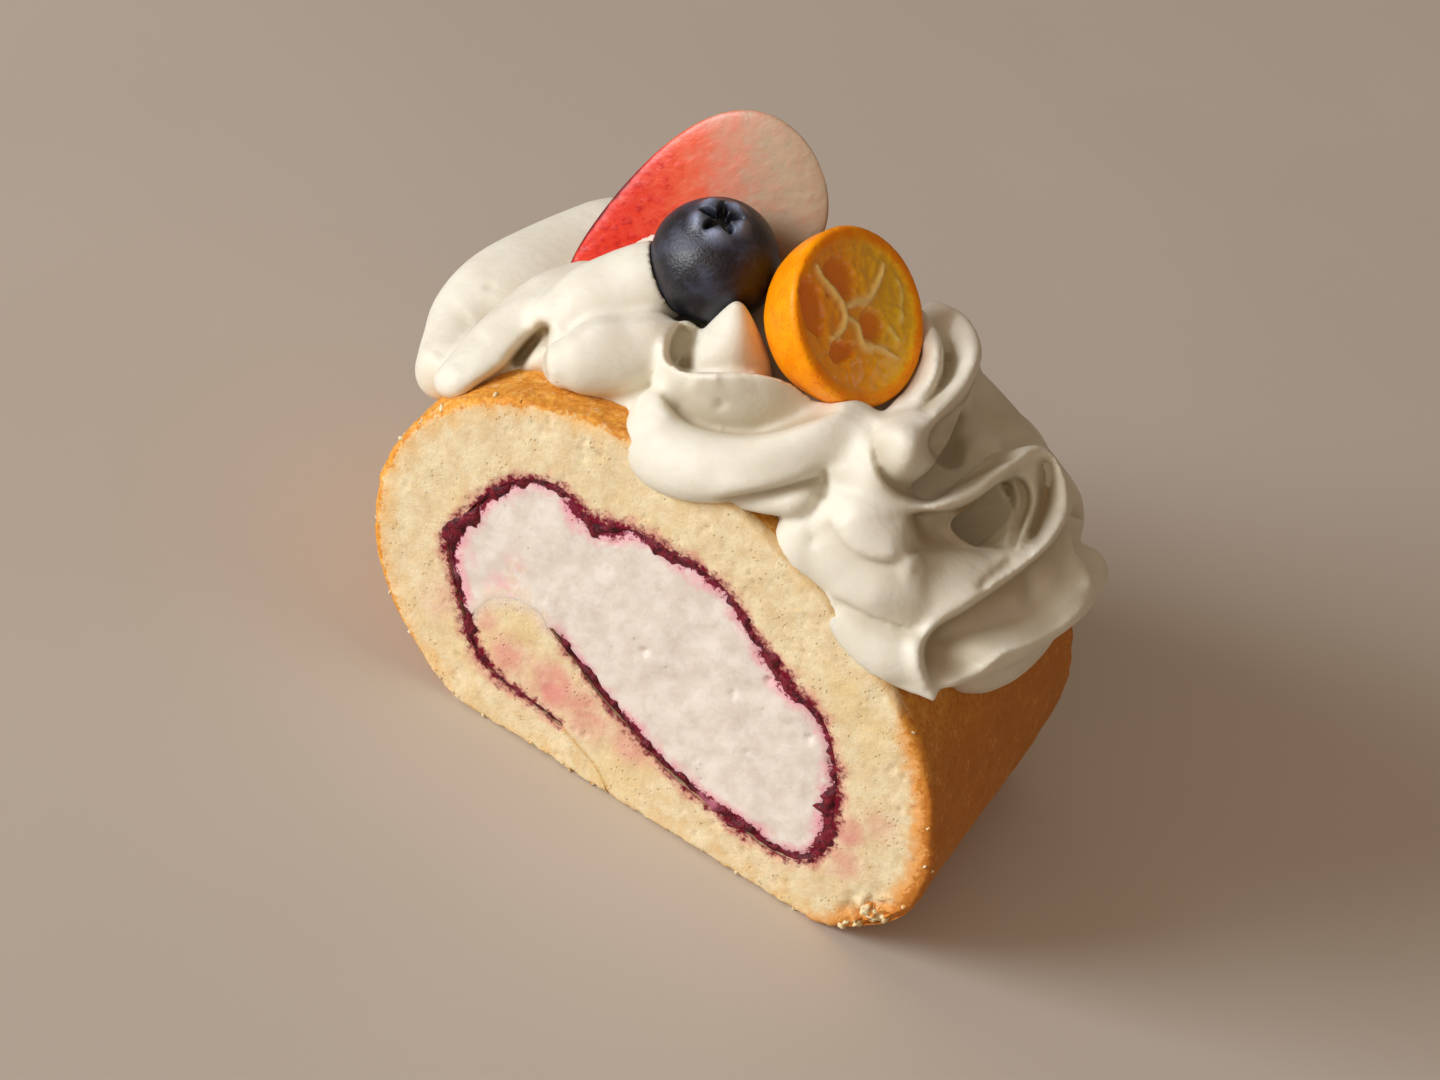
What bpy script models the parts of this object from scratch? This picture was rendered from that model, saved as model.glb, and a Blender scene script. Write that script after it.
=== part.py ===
"""A slice of swiss roll lying on its flat base: one sheet of sponge rolled round jam and cream, with
piped cream along its top and a slice of strawberry, a blueberry and half a kumquat set in the cream.

Metres. +X runs across the slice, +Y from its front cut face to its back one and +Z up.
The origin is the middle of the base.
"""
import math

import bmesh
import bpy
from mathutils import Matrix, Vector

# Driving dimensions. Paths and knots are in millimetres, and MM takes them to metres.
MM = 0.001
ROLL_DEPTH = 49 * MM
CLEARANCE = 0.3 * MM
RIM_ROUNDING = 0.7 * MM
WELD = 0.01 * MM
SHARP_ANGLE = 40.0
SEAM_GAP = 0.5 * MM

JAM_THICKNESS = 1.5 * MM
JAM_SWELL = 0.45 * MM
JAM_WAVES = (5.0, 11.0)

BLUEBERRY_RADIUS = 7.6 * MM
BLUEBERRY_HEIGHT = 14.4 * MM
BLUEBERRY_CENTRE = Vector((-17.7, -5.7, 60.4)) * MM
BLUEBERRY_AXIS = Vector((-0.15, -0.27, 0.95))
CROWN_RADIUS = 3.2 * MM
CROWN_DEPTH = 1.6 * MM
CROWN_LIP = 0.6 * MM
BLUEBERRY_SEGMENTS = 24
BLUEBERRY_STEPS = 12

KUMQUAT_RADIUS = 10.4 * MM
KUMQUAT_LENGTH = 11.6 * MM
KUMQUAT_CENTRE = Vector((0.7, -7.6, 65.3)) * MM
KUMQUAT_AXIS = Vector((0.62, -0.28, 0.73))
KUMQUAT_SEGMENTS = 26
KUMQUAT_STEPS = 9
# The chambers open in the cut face: middle, half breadth and half length in it, and depth
KUMQUAT_CHAMBERS = (
    (-6.8, 2.2, 2.1, 3.9, 2.0), (-1.7, 4.6, 2.9, 2.8, 2.6),
    (1.8, -1.3, 2.3, 2.1, 3.0), (-3.7, -3.5, 2.4, 1.4, 2.0),
)
CHAMBER_SEGMENTS = 12

STRAWBERRY_THICKNESS = 1.8 * MM
STRAWBERRY_LENGTH = 33.8 * MM
STRAWBERRY_WIDTH = 20.4 * MM
STRAWBERRY_TIP = Vector((-34.5, 0.1, 45.1)) * MM
STRAWBERRY_TAPER = 0.75
STRAWBERRY_BLUNTNESS = 3
STRAWBERRY_TURN = 52.0
STRAWBERRY_LEAN = 15.0
STRAWBERRY_STEPS = 16

# The outline of the slice from the left end of its base, over the top, to the right end of its base
OUTLINE_KNOTS = (
    (-20, 0), (-29.5, 4.6), (-36.5, 12), (-39.8, 21.5), (-39.2, 30), (-34, 38.5), (-25, 43.8), (-13, 46.2),
    (0, 45.6), (12, 42), (22.5, 36.8), (31.5, 30.4), (37, 22.8), (40, 12.5), (37.2, 4.4), (30, 0),
)
OUTLINE_LEADS = ((-10, 0), (20, 0))
OUTLINE_STEPS = 3

# The line between the turns of the sheet: up from the seam in the base, then along the jam
SEAM_KNOTS = ((1.4, 0), (-0.9, 2.4), (-4.0, 3.9))
JAM_KNOTS = (
    (-7.4, 5.3), (-11.9, 5.9), (-16.3, 6.4), (-20.0, 7.9), (-23.7, 11.8), (-27.2, 16.6), (-28.8, 20.3),
    (-27.8, 25.4), (-25.6, 30.4), (-22.6, 33.5), (-19.0, 34.6), (-14.2, 33.5), (-8.9, 35.0), (-2.9, 35.1),
    (2.7, 34.7), (8.4, 31.4), (14.3, 28.0), (19.5, 26.4), (23.2, 22.1), (25.4, 17.5), (26.8, 11.1),
    (25.3, 7.4), (21.4, 6.1), (16.6, 6.7), (11.5, 7.1), (5.4, 8.4), (0.1, 10.5), (-5.3, 12.5), (-13.3, 16.8),
)
# The rounded inner end of the sheet, from the end of the jam over its tip, and where it leaves the jam
TAIL_KNOTS = ((-15.8, 17.9), (-19.4, 17.4), (-21.8, 15.2))
TAIL_FOOT = (-22.4, 12.5)
TURN_STEPS = 3

# Each fold of piped cream: how far its section narrows upwards, then X, Y, Z, height and width along it
CREAM_FOLDS = {
    "bed": (0.2, ((-34, -1, 33.5, 14, 28), (-26, -1, 42, 15, 36), (-12, -2, 45.5, 13, 40),
        (3, -2, 46, 14, 40), (17, -1, 43, 18, 38), (29, 1, 36, 16, 33))),
    "nest": (0.2, ((-24, 3, 50, 12, 14), (-14, 1, 51, 12, 14), (-2, 2, 53, 14, 16), (8, 2, 53, 16, 18))),
    "left lobe": (0.2, ((-33.3, 13, 40.9, 16, 17), (-36.7, 7, 38.2, 16, 17), (-39.8, 1, 35.8, 15, 17),
        (-41, -4, 34, 13, 15), (-40.9, -8, 33.4, 10, 12))),
    "front petal": (0.3, ((-29.9, -6, 47, 9, 11), (-32.7, -9, 45.4, 8, 11), (-34.5, -13, 42.3, 7, 10),
        (-35.4, -17, 39.5, 6, 9), (-36.3, -20, 36.9, 4, 7.5))),
    "second lobe": (0.2, ((-22.9, -8, 54.9, 10, 11), (-25.1, -9, 52.5, 10, 12),
        (-27.5, -11, 49.6, 10, 12), (-29.5, -13, 47.2, 8, 10))),
    "second lobe skirt": (0.2, ((-18.7, -14.5, 51.8, 8, 8), (-20.3, -15.5, 50.3, 8.5, 9),
        (-22.4, -17, 48.8, 9.5, 9), (-24.4, -18.5, 47.4, 8, 8), (-25.7, -19, 46.5, 6, 6))),
    "curl wall": (0.6, ((3.7, -13, 52.6, 7, 5), (0.1, -15.5, 53.7, 8, 4.5), (-3.1, -18, 54.3, 10, 4),
        (-6.3, -19.5, 52.5, 11, 4), (-9.3, -20, 50.6, 11, 4), (-11.9, -19.5, 49.9, 10, 3.5),
        (-14.6, -17.5, 50.2, 9, 3.2), (-15.6, -14.5, 51.8, 8, 3), (-15.4, -12, 53.9, 6, 3))),
    "band": (0.15, ((-12.5, -19.5, 47.2, 8, 9), (-11.2, -21, 45.2, 9, 9.5), (-7.4, -22, 45.7, 8.5, 10),
        (-3, -22, 47.9, 7.5, 10), (0.8, -21, 50.5, 7, 9.5), (3.8, -18.5, 53.2, 8, 8.5),
        (6.7, -15, 55.7, 9.5, 8))),
    "first ridge": (0.5, ((4.7, 5, 58.7, 8, 4), (8.1, 0, 59.9, 8, 4), (9.9, -4, 59.6, 8, 4.5),
        (10.5, -7.5, 58.2, 8, 5), (10.1, -11, 56.9, 8, 5.5), (8.9, -13.5, 55, 8, 6),
        (7.1, -15.5, 52.5, 8.5, 8))),
    "under fold": (0.1, ((-1, -22, 46.4, 4, 4), (2.1, -22.5, 47.2, 4, 5), (4.6, -22, 48.2, 4.5, 5))),
    "second ridge": (0.35, ((5.9, 9, 58, 8, 5), (9.1, 6, 60.1, 8, 4.5), (11.9, 2, 60.7, 8, 4.5),
        (13.2, -2, 60.1, 8, 4.5), (13.4, -6.5, 59.2, 8.5, 5), (13.2, -11.5, 58.5, 9, 6.5),
        (13.1, -16, 59.1, 9, 8), (13.3, -18, 59.6, 7, 8))),
    "outer ribbon": (0.55, ((8.5, -15, 51.2, 8, 5), (11.2, -17.5, 50, 9, 5), (14.5, -18.5, 49.9, 9, 5),
        (17.5, -17, 50.7, 9, 4), (20, -13, 52.5, 9, 4), (21.4, -9, 54.6, 9, 4), (22.5, -5, 56, 9, 4),
        (24.2, -2, 55.7, 9, 4), (27.2, -2, 53.6, 9, 4), (29, -4, 51.1, 9, 4), (29.1, -8, 48.9, 9, 5),
        (27.9, -12, 46.3, 9, 5), (25.9, -16, 43.2, 9, 5), (23.9, -19, 40.4, 9, 5),
        (23.6, -21.5, 37.9, 8, 4), (27.7, -23, 36.4, 3, 2))),
    "inner ribbon": (0.5, ((21.3, -2, 52.5, 8, 3.5), (24.2, -3, 52.2, 8, 3.5), (26, -5, 50.3, 8, 3.5),
        (26.8, -9, 49, 8, 3.5), (26.6, -12.5, 47.7, 7, 4))),
    "front lobe": (0.1, ((29.6, -12, 46.4, 7, 8), (25.9, -15, 46, 9, 11), (21.6, -16, 45.6, 12, 14),
        (16.4, -17, 46.2, 17, 16), (12.1, -18.5, 46.4, 16, 14), (8.3, -19.5, 44.4, 12, 11))),
    "under lobe": (0.1, ((16.9, -20, 39.3, 8, 8), (20.8, -20, 39.3, 9, 9), (24.7, -20.5, 39.2, 8, 8))),
    "right wall": (0.1, ((25, 9, 42, 14, 13), (29.5, 3, 38, 14, 13), (31, -7, 37, 15, 12),
        (28.1, -15, 37.5, 12, 12))),
    "right brim": (0.1, ((34.9, 3, 43.2, 9, 8), (34.7, -4, 43.5, 10, 8), (33.3, -10, 42.4, 9, 8),
        (31.2, -16, 40.6, 8, 7), (29.2, -20, 39.2, 6, 6))),
    "back lobe one": (0.1, ((-22, 5, 49, 12, 17), (-23.5, 12, 47.5, 13, 19), (-25, 18, 45, 11, 17),
        (-26, 22, 42.5, 8, 12))),
    "back lobe two": (0.1, ((-8.5, 6, 51, 13, 18), (-9, 13, 49.5, 14, 20), (-9.5, 19, 47.3, 12, 17),
        (-11, 23, 45, 8, 12))),
    "back lobe three": (0.1, ((6, 6, 51, 13, 18), (6.5, 13, 49, 14, 20), (6.5, 19, 46.5, 12, 17),
        (5.5, 23, 44, 8, 12))),
    "back lobe four": (0.1, ((19, 5, 47, 12, 17), (20, 12, 44.5, 13, 18), (21, 18, 41.5, 11, 16),
        (20.5, 22, 39, 8, 11))),
    "back mound": (0.1, ((5, 11, 48, 18, 14), (16, 9, 46.5, 17, 14), (26.5, 7, 43.5, 16, 14))),
}
FOLD_STEPS = 3
FOLD_SIDES = 11
CAP_ANGLES = (35, 65)
PEAK_PLACE = Vector((-10.0, -12.0, 53.5)) * MM
PEAK_AXIS = Vector((-0.25, 0.0, 1.0))
PEAK_PROFILE = ((0, 8), (1.4, 7.2), (3.1, 5), (4.6, 2), (5.2, -1), (4, -4), (0, -5))
ROLL_AXIS = Vector((0, 0, 10)) * MM


def clear_scene():
    """Empties the file, so that the script can run in any session."""
    for item in list(bpy.data.objects):
        bpy.data.objects.remove(item, do_unlink=True)


def new_collection(name):
    """A collection in the scene."""
    collection = bpy.data.collections.new(name)
    bpy.context.scene.collection.children.link(collection)
    return collection


def material(name, colour, roughness):
    """A Principled material without metal."""
    made = bpy.data.materials.new(name)
    made.use_nodes = True
    shader = made.node_tree.nodes["Principled BSDF"]
    shader.inputs["Base Color"].default_value = (*colour, 1)
    shader.inputs["Roughness"].default_value = roughness
    shader.inputs["Metallic"].default_value = 0
    return made


def smooth_path(knots, steps, leads=None):
    """Points on a smooth curve through the knots, with steps points to a span."""
    knots = [Vector(k) for k in knots]
    before = Vector(leads[0]) if leads else 2 * knots[0] - knots[1]
    after = Vector(leads[1]) if leads else 2 * knots[-1] - knots[-2]
    run = [before, *knots, after]
    points = []
    for a, b, c, d in zip(run, run[1:], run[2:], run[3:]):
        for step in range(steps):
            t = step / steps
            points.append(0.5 * (2 * b + (c - a) * t + (2 * a - 5 * b + 4 * c - d) * t ** 2
                                 + (3 * b - a - 3 * c + d) * t ** 3))
    return points + [knots[-1]]


def offset_path(points, distances):
    """The path moved to its left by a distance of its own at each point."""
    moved = []
    for i, point in enumerate(points):
        along = (points[min(i + 1, len(points) - 1)] - points[max(i - 1, 0)]).normalized()
        moved.append(point + Vector((-along.y, along.x)) * distances[i])
    return moved


def flat_curve(name, outline, thickness, rounding=0.0):
    """A flat outline in X and Z as a filled curve, as thick as given along Y."""
    data = bpy.data.curves.new(name, "CURVE")
    data.dimensions = "2D"
    data.fill_mode = "BOTH"
    data.extrude = thickness / 2 - rounding
    data.bevel_depth = rounding
    data.bevel_resolution = 1
    data.offset = -rounding
    spline = data.splines.new("POLY")
    spline.points.add(len(outline) - 1)
    for slot, point in zip(spline.points, outline):
        slot.co = (point.x, point.y, 0, 1)
    spline.use_cyclic_u = True
    made = bpy.data.objects.new(name, data)
    made.rotation_euler.x = math.radians(90)
    return made


def as_mesh(curve):
    """A curve object turned into a closed mesh object of the same name and place."""
    bpy.context.scene.collection.objects.link(curve)
    bpy.context.view_layer.update()
    evaluated = curve.evaluated_get(bpy.context.evaluated_depsgraph_get())
    data = bpy.data.meshes.new_from_object(evaluated)
    name, place = curve.name, curve.matrix_world.copy()
    bpy.data.objects.remove(curve, do_unlink=True)
    shape = bmesh.new()
    shape.from_mesh(data)
    bmesh.ops.remove_doubles(shape, verts=shape.verts, dist=WELD)
    shape.to_mesh(data)
    shape.free()
    made = bpy.data.objects.new(name, data)
    made.matrix_world = place
    return made


def finish(made, collection, look):
    """Puts a piece in its collection with its material, shaded smooth between sharp edges."""
    collection.objects.link(made)
    made.data.materials.clear()
    made.data.materials.append(look)
    if made.type == "MESH":
        made.data.shade_smooth()
        made.data.set_sharp_from_angle(angle=math.radians(SHARP_ANGLE))
    return made


def as_cutter(made, collection):
    """Keeps a shape that only cuts others out of the render."""
    collection.objects.link(made)
    made.hide_render = True
    made.display_type = "WIRE"
    return made


def cut(made, cutter, solver="EXACT"):
    """Takes one shape out of another."""
    modifier = made.modifiers.new("cut " + cutter.name, "BOOLEAN")
    modifier.operation = "DIFFERENCE"
    modifier.solver = solver
    modifier.object = cutter


def turn_to(axis):
    """The turn that brings +Z to an axis."""
    return axis.to_track_quat("Z", "Y").to_matrix().to_4x4()


def roll_outline(margin=0.0):
    """The outline of the slice in X and Z, moved outwards by a margin."""
    path = [p * MM for p in smooth_path(OUTLINE_KNOTS, OUTLINE_STEPS, OUTLINE_LEADS)]
    return offset_path(path, [margin] * len(path))


def turn_line():
    """The line between the turns of the sheet, with half the space to leave along it and half the jam."""
    seam = smooth_path(SEAM_KNOTS + JAM_KNOTS[:1], TURN_STEPS)[:-1]
    jam = smooth_path(JAM_KNOTS, TURN_STEPS)
    line = [p * MM for p in seam + jam]
    half_jam = []
    for i in range(len(jam)):
        turn = i / (len(jam) - 1) * math.tau
        wave = sum(math.sin(count * turn) for count in JAM_WAVES) / len(JAM_WAVES)
        half_jam.append((JAM_THICKNESS + JAM_SWELL * wave) / 2)
    half_space = [SEAM_GAP / 2] * len(seam) + [half + CLEARANCE for half in half_jam]
    return line, half_space, len(seam), half_jam


def sponge(collection):
    """The sheet of sponge, one spiral from the seam in the base round to its inner end."""
    line, half_space, _, _ = turn_line()
    inner = offset_path(line, [-d for d in half_space])
    outer = offset_path(line, half_space)
    inner[0] = Vector((line[0].x + SEAM_GAP / 2, 0))
    outer[0] = Vector((line[0].x - SEAM_GAP / 2, 0))
    end, foot = sheet_end(inner, outer[-1])
    sheet = roll_outline() + inner[:foot] + end[::-1] + outer[:-1][::-1]
    made = as_mesh(flat_curve("sponge", sheet, ROLL_DEPTH, RIM_ROUNDING))
    return finish(made, collection, material("sponge crumb", (0.80, 0.64, 0.34), 0.85))


def sheet_end(inner, start):
    """The rounded inner end of the sheet, and the index on the inner side of the jam where it ends."""
    foot = nearest(inner, Vector(TAIL_FOOT) * MM)
    tail = [Vector(k) * MM for k in TAIL_KNOTS]
    return smooth_path([start, *tail, inner[foot]], TURN_STEPS), foot


def nearest(points, place):
    """The index of the point nearest to a place."""
    return min(range(len(points)), key=lambda i: (points[i] - place).length)


def jam(collection):
    """The jam, one strip along the inner side of the sheet."""
    line, _, start, half_jam = turn_line()
    run = line[start:]
    strip = offset_path(run, half_jam) + offset_path(run, [-d for d in half_jam])[::-1]
    made = as_mesh(flat_curve("jam", strip, ROLL_DEPTH - RIM_ROUNDING))
    return finish(made, collection, material("berry jam", (0.16, 0.004, 0.02), 0.25))


def cream_filling(collection):
    """The cream inside the jam, up against the inner end of the sheet."""
    line, half_space, start, _ = turn_line()
    run, space = line[start:], half_space[start:]
    inner = offset_path(run, [-d for d in space])
    end, foot = sheet_end(inner, offset_path(run, space)[-1])
    face = offset_path(end, [-CLEARANCE] * len(end))
    made = as_mesh(flat_curve("cream_filling", inner[foot + 2:] + face[1:-1], ROLL_DEPTH - RIM_ROUNDING))
    return finish(made, collection, material("cream filling", (0.86, 0.80, 0.72), 0.6))


def fold_mesh(name, pinch, stations):
    """A fold of piped cream: an egg-shaped section carried along a path and closed with round ends."""
    path = smooth_path(stations, FOLD_STEPS)
    places = [Vector(p[:3]) * MM for p in path]
    rings = []
    for i, place in enumerate(places):
        along = (places[min(i + 1, len(places) - 1)] - places[max(i - 1, 0)]).normalized()
        rings.append((place, along, path[i][3] * MM / 2, path[i][4] * MM / 2))
    first, last = rings[0], rings[-1]
    front = [cap_ring(first, -angle) for angle in reversed(CAP_ANGLES)]
    back = [cap_ring(last, angle) for angle in CAP_ANGLES]
    shape = bmesh.new()
    loops = []
    for place, along, height, width in front + rings + back:
        outward = place - Vector((ROLL_AXIS.x, place.y, ROLL_AXIS.z))
        side = along.cross(outward).normalized()
        up = side.cross(along)
        loop = []
        for k in range(FOLD_SIDES):
            turn = math.tau * k / FOLD_SIDES
            half = width * (1 - pinch * (1 + math.sin(turn)) / 2)
            out = side * math.cos(turn) * half + up * math.sin(turn) * height
            loop.append(shape.verts.new(place + out))
        loops.append(loop)
    for one, two in zip(loops, loops[1:]):
        for k in range(FOLD_SIDES):
            m = (k + 1) % FOLD_SIDES
            shape.faces.new((one[k], one[m], two[m], two[k]))
    for loop, ring, sign in ((loops[0], first, -1), (loops[-1], last, 1)):
        tip = shape.verts.new(ring[0] + ring[1] * sign * min(ring[2], ring[3]))
        for k in range(FOLD_SIDES):
            shape.faces.new((loop[k], loop[(k + 1) % FOLD_SIDES], tip))
    bmesh.ops.recalc_face_normals(shape, faces=shape.faces)
    data = bpy.data.meshes.new(name)
    shape.to_mesh(data)
    shape.free()
    return bpy.data.objects.new(name, data)


def cap_ring(ring, angle):
    """A smaller ring beyond the end of a fold, at an angle round its end."""
    place, along, height, width = ring
    reach = min(height, width)
    less = math.cos(math.radians(angle))
    return place + along * reach * math.sin(math.radians(angle)), along, height * less, width * less


def fused(name, pieces):
    """One body out of overlapping pieces, by a union on their collection."""
    group = new_collection(name + " pieces")
    for piece in pieces[1:]:
        group.objects.link(piece)
    first = pieces[0]
    bpy.context.scene.collection.objects.link(first)
    modifier = first.modifiers.new("union", "BOOLEAN")
    modifier.operation = "UNION"
    modifier.operand_type = "COLLECTION"
    modifier.collection = group
    modifier.solver = "MANIFOLD"
    bpy.context.view_layer.update()
    evaluated = first.evaluated_get(bpy.context.evaluated_depsgraph_get())
    data = bpy.data.meshes.new_from_object(evaluated)
    made = bpy.data.objects.new(name, data)
    made.matrix_world = first.matrix_world
    for piece in pieces:
        bpy.data.objects.remove(piece, do_unlink=True)
    bpy.data.collections.remove(group)
    return made


def cream_topping(collection, cutters, shapes):
    """The piped cream: folds fused into one body and cut round the roll and the fruit."""
    folds = [fold_mesh(name, *fold) for name, fold in CREAM_FOLDS.items()]
    peak = turned("peak", [(x * MM, z * MM) for x, z in PEAK_PROFILE], FOLD_SIDES)
    peak.matrix_world = Matrix.Translation(PEAK_PLACE) @ turn_to(PEAK_AXIS)
    folds.append(peak)
    made = fused("cream_topping", folds)
    for shape in shapes:
        cut(made, as_cutter(shape, cutters), "MANIFOLD")
    return finish(made, collection, material("piped cream", (0.90, 0.87, 0.78), 0.5))


def turned(name, profile, segments):
    """A profile in X and Z turned about Z."""
    data = bpy.data.meshes.new(name)
    shape = bmesh.new()
    verts = [shape.verts.new((x, 0, z)) for x, z in profile]
    for one, two in zip(verts, verts[1:]):
        shape.edges.new((one, two))
    shape.to_mesh(data)
    shape.free()
    made = bpy.data.objects.new(name, data)
    screw = made.modifiers.new("turn", "SCREW")
    screw.steps = segments
    screw.render_steps = segments
    screw.use_merge_vertices = True
    screw.merge_threshold = WELD
    return made


def blueberry(collection):
    """The blueberry, its crown a pit in a raised rim at the top."""
    edge = math.asin(CROWN_RADIUS / BLUEBERRY_RADIUS)
    rim_height = BLUEBERRY_HEIGHT / 2 * math.cos(edge)
    pit = [(0, rim_height - CROWN_DEPTH), (CROWN_RADIUS * 0.6, rim_height - CROWN_DEPTH * 0.8),
           (CROWN_RADIUS * 0.85, rim_height + CROWN_LIP)]
    made = turned("blueberry", pit + berry_profile(0.0, edge), BLUEBERRY_SEGMENTS)
    made.matrix_world = blueberry_frame()
    return finish(made, collection, material("blueberry skin", (0.02, 0.026, 0.06), 0.45))


def blueberry_frame():
    """The middle of the blueberry, with its crown along +Z."""
    return Matrix.Translation(BLUEBERRY_CENTRE) @ turn_to(BLUEBERRY_AXIS)


def berry_profile(margin, start):
    """The turned side of the blueberry from an angle off its top down to its bottom, moved outwards."""
    angles = [start + (math.pi - start) * i / BLUEBERRY_STEPS for i in range(BLUEBERRY_STEPS)]
    side = [((BLUEBERRY_RADIUS + margin) * math.sin(a), (BLUEBERRY_HEIGHT / 2 + margin) * math.cos(a))
            for a in angles]
    return side + [(0, -BLUEBERRY_HEIGHT / 2 - margin)]


def kumquat_frame():
    """The place of the cut face of the kumquat, which looks along its +Z."""
    return Matrix.Translation(KUMQUAT_CENTRE) @ turn_to(KUMQUAT_AXIS)


def kumquat_profile(margin):
    """The turned side of the half kumquat, cut face at the top, moved outwards by a margin."""
    radius, length = KUMQUAT_RADIUS + margin, KUMQUAT_LENGTH + margin
    angles = [math.pi / 2 * i / KUMQUAT_STEPS for i in range(KUMQUAT_STEPS)]
    side = [(radius * math.cos(a), margin - (length + margin) * math.sin(a)) for a in angles]
    return [(0, margin), *side, (0, -length)]


def kumquat_half(collection, cutters):
    """Half a kumquat, cut face up, with its chambers hollowed between the membranes."""
    made = turned("kumquat_half", kumquat_profile(0.0), KUMQUAT_SEGMENTS)
    made.matrix_world = kumquat_frame()
    for x, y, half_breadth, half_length, depth in KUMQUAT_CHAMBERS:
        shape = bmesh.new()
        rings = CHAMBER_SEGMENTS // 2
        bmesh.ops.create_uvsphere(shape, u_segments=CHAMBER_SEGMENTS, v_segments=rings, radius=1)
        bmesh.ops.scale(shape, vec=Vector((half_breadth, half_length, depth)) * MM, verts=shape.verts)
        data = bpy.data.meshes.new("chamber")
        shape.to_mesh(data)
        shape.free()
        chamber = bpy.data.objects.new("chamber", data)
        chamber.matrix_world = kumquat_frame() @ Matrix.Translation(Vector((x, y, 0)) * MM)
        cut(made, as_cutter(chamber, cutters))
    return finish(made, collection, material("kumquat rind", (0.85, 0.36, 0.01), 0.4))


def strawberry_outline(margin):
    """The outline of a berry sliced lengthwise, tip at the origin and the stalk end along +X."""
    share = STRAWBERRY_TAPER / (STRAWBERRY_TAPER + STRAWBERRY_BLUNTNESS / 2)
    fullest = share ** (1 / STRAWBERRY_BLUNTNESS)
    widen = STRAWBERRY_WIDTH / 2 / fullness(fullest)
    side = []
    for i in range(1, STRAWBERRY_STEPS):
        along = (1 - math.cos(math.pi * i / STRAWBERRY_STEPS)) / 2
        side.append(Vector((along * STRAWBERRY_LENGTH, widen * fullness(along))))
    tip, end = Vector((0, 0)), Vector((STRAWBERRY_LENGTH, 0))
    outline = [tip, *[Vector((p.x, -p.y)) for p in side], end, *side[::-1]]
    closed = [outline[-1], *outline, outline[0]]
    return offset_path(closed, [-margin] * len(closed))[1:-1]


def fullness(along):
    """How far the side of the strawberry stands out, at a share of its length from the tip."""
    return along ** STRAWBERRY_TAPER * math.sqrt(1 - along ** STRAWBERRY_BLUNTNESS)


def strawberry_slice(name, margin):
    """A thin slice of strawberry standing on its tip, leaning back."""
    made = as_mesh(flat_curve(name, strawberry_outline(margin), STRAWBERRY_THICKNESS + 2 * margin))
    stand = Matrix.Translation(STRAWBERRY_TIP) @ Matrix.Rotation(math.radians(-STRAWBERRY_LEAN), 4, "X")
    made.matrix_world = stand @ Matrix.Rotation(math.radians(-STRAWBERRY_TURN), 4, "Y") @ made.matrix_world
    return made


def fruit_spaces():
    """The shapes of the fruit with the clearance round them, for cutting the cream."""
    top = (0, BLUEBERRY_HEIGHT / 2 + CLEARANCE)
    start = math.pi / BLUEBERRY_STEPS
    berry = turned("blueberry space", [top, *berry_profile(CLEARANCE, start)], BLUEBERRY_SEGMENTS)
    berry.matrix_world = blueberry_frame()
    kumquat = turned("kumquat space", kumquat_profile(CLEARANCE), KUMQUAT_SEGMENTS)
    kumquat.matrix_world = kumquat_frame()
    return [berry, kumquat, strawberry_slice("strawberry space", CLEARANCE)]


def main():
    clear_scene()
    parts = new_collection("swiss roll")
    cutters = new_collection("cutters")
    sponge(parts)
    jam(parts)
    cream_filling(parts)
    blueberry(parts)
    kumquat_half(parts, cutters)
    strawberry = strawberry_slice("strawberry_slice", 0.0)
    finish(strawberry, parts, material("strawberry flesh", (0.70, 0.08, 0.04), 0.35))
    space = ROLL_DEPTH + 2 * CLEARANCE
    roll_space = as_mesh(flat_curve("roll space", roll_outline(CLEARANCE), space))
    cream_topping(parts, cutters, [roll_space, *fruit_spaces()])


main()
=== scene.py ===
import math

import bmesh
import bpy
import numpy as np
from mathutils import Matrix, Vector, bvhtree, geometry, kdtree, noise


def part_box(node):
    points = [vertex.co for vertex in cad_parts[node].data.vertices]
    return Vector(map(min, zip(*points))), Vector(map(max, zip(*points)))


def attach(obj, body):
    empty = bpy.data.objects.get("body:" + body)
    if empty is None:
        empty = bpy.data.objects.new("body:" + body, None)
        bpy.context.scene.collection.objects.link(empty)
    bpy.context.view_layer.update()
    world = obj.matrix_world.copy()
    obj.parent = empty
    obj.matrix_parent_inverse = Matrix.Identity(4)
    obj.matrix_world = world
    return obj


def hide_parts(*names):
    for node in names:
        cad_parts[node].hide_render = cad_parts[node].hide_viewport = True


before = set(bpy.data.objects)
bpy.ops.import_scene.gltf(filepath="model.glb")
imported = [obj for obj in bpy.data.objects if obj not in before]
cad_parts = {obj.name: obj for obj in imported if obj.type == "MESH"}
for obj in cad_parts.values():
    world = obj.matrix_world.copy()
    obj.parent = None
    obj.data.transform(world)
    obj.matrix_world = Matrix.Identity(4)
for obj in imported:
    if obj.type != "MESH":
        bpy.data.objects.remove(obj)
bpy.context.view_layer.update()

# A slice of swiss roll with piped cream and fruit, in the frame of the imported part: metres, +X across the
# slice, +Y from its front cut face to its back one, +Z up. Knots and paths are in millimetres.
MM = 0.001
ROLL_DEPTH = 49.0
ROLL_AXIS = Vector((0, 0, 10))

# The photograph's viewing angle: azimuth, elevation and roll in degrees, and the distance
VIEW_TURN = (9.95, 35.0, 25.69)
VIEW_TARGET = Vector((-4.06, 0, 23.15))
VIEW_DISTANCE = 482.86
VIEW_LENS = 100.0
VIEW_SENSOR = 36.0
PICTURE = (1440, 1080)

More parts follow.
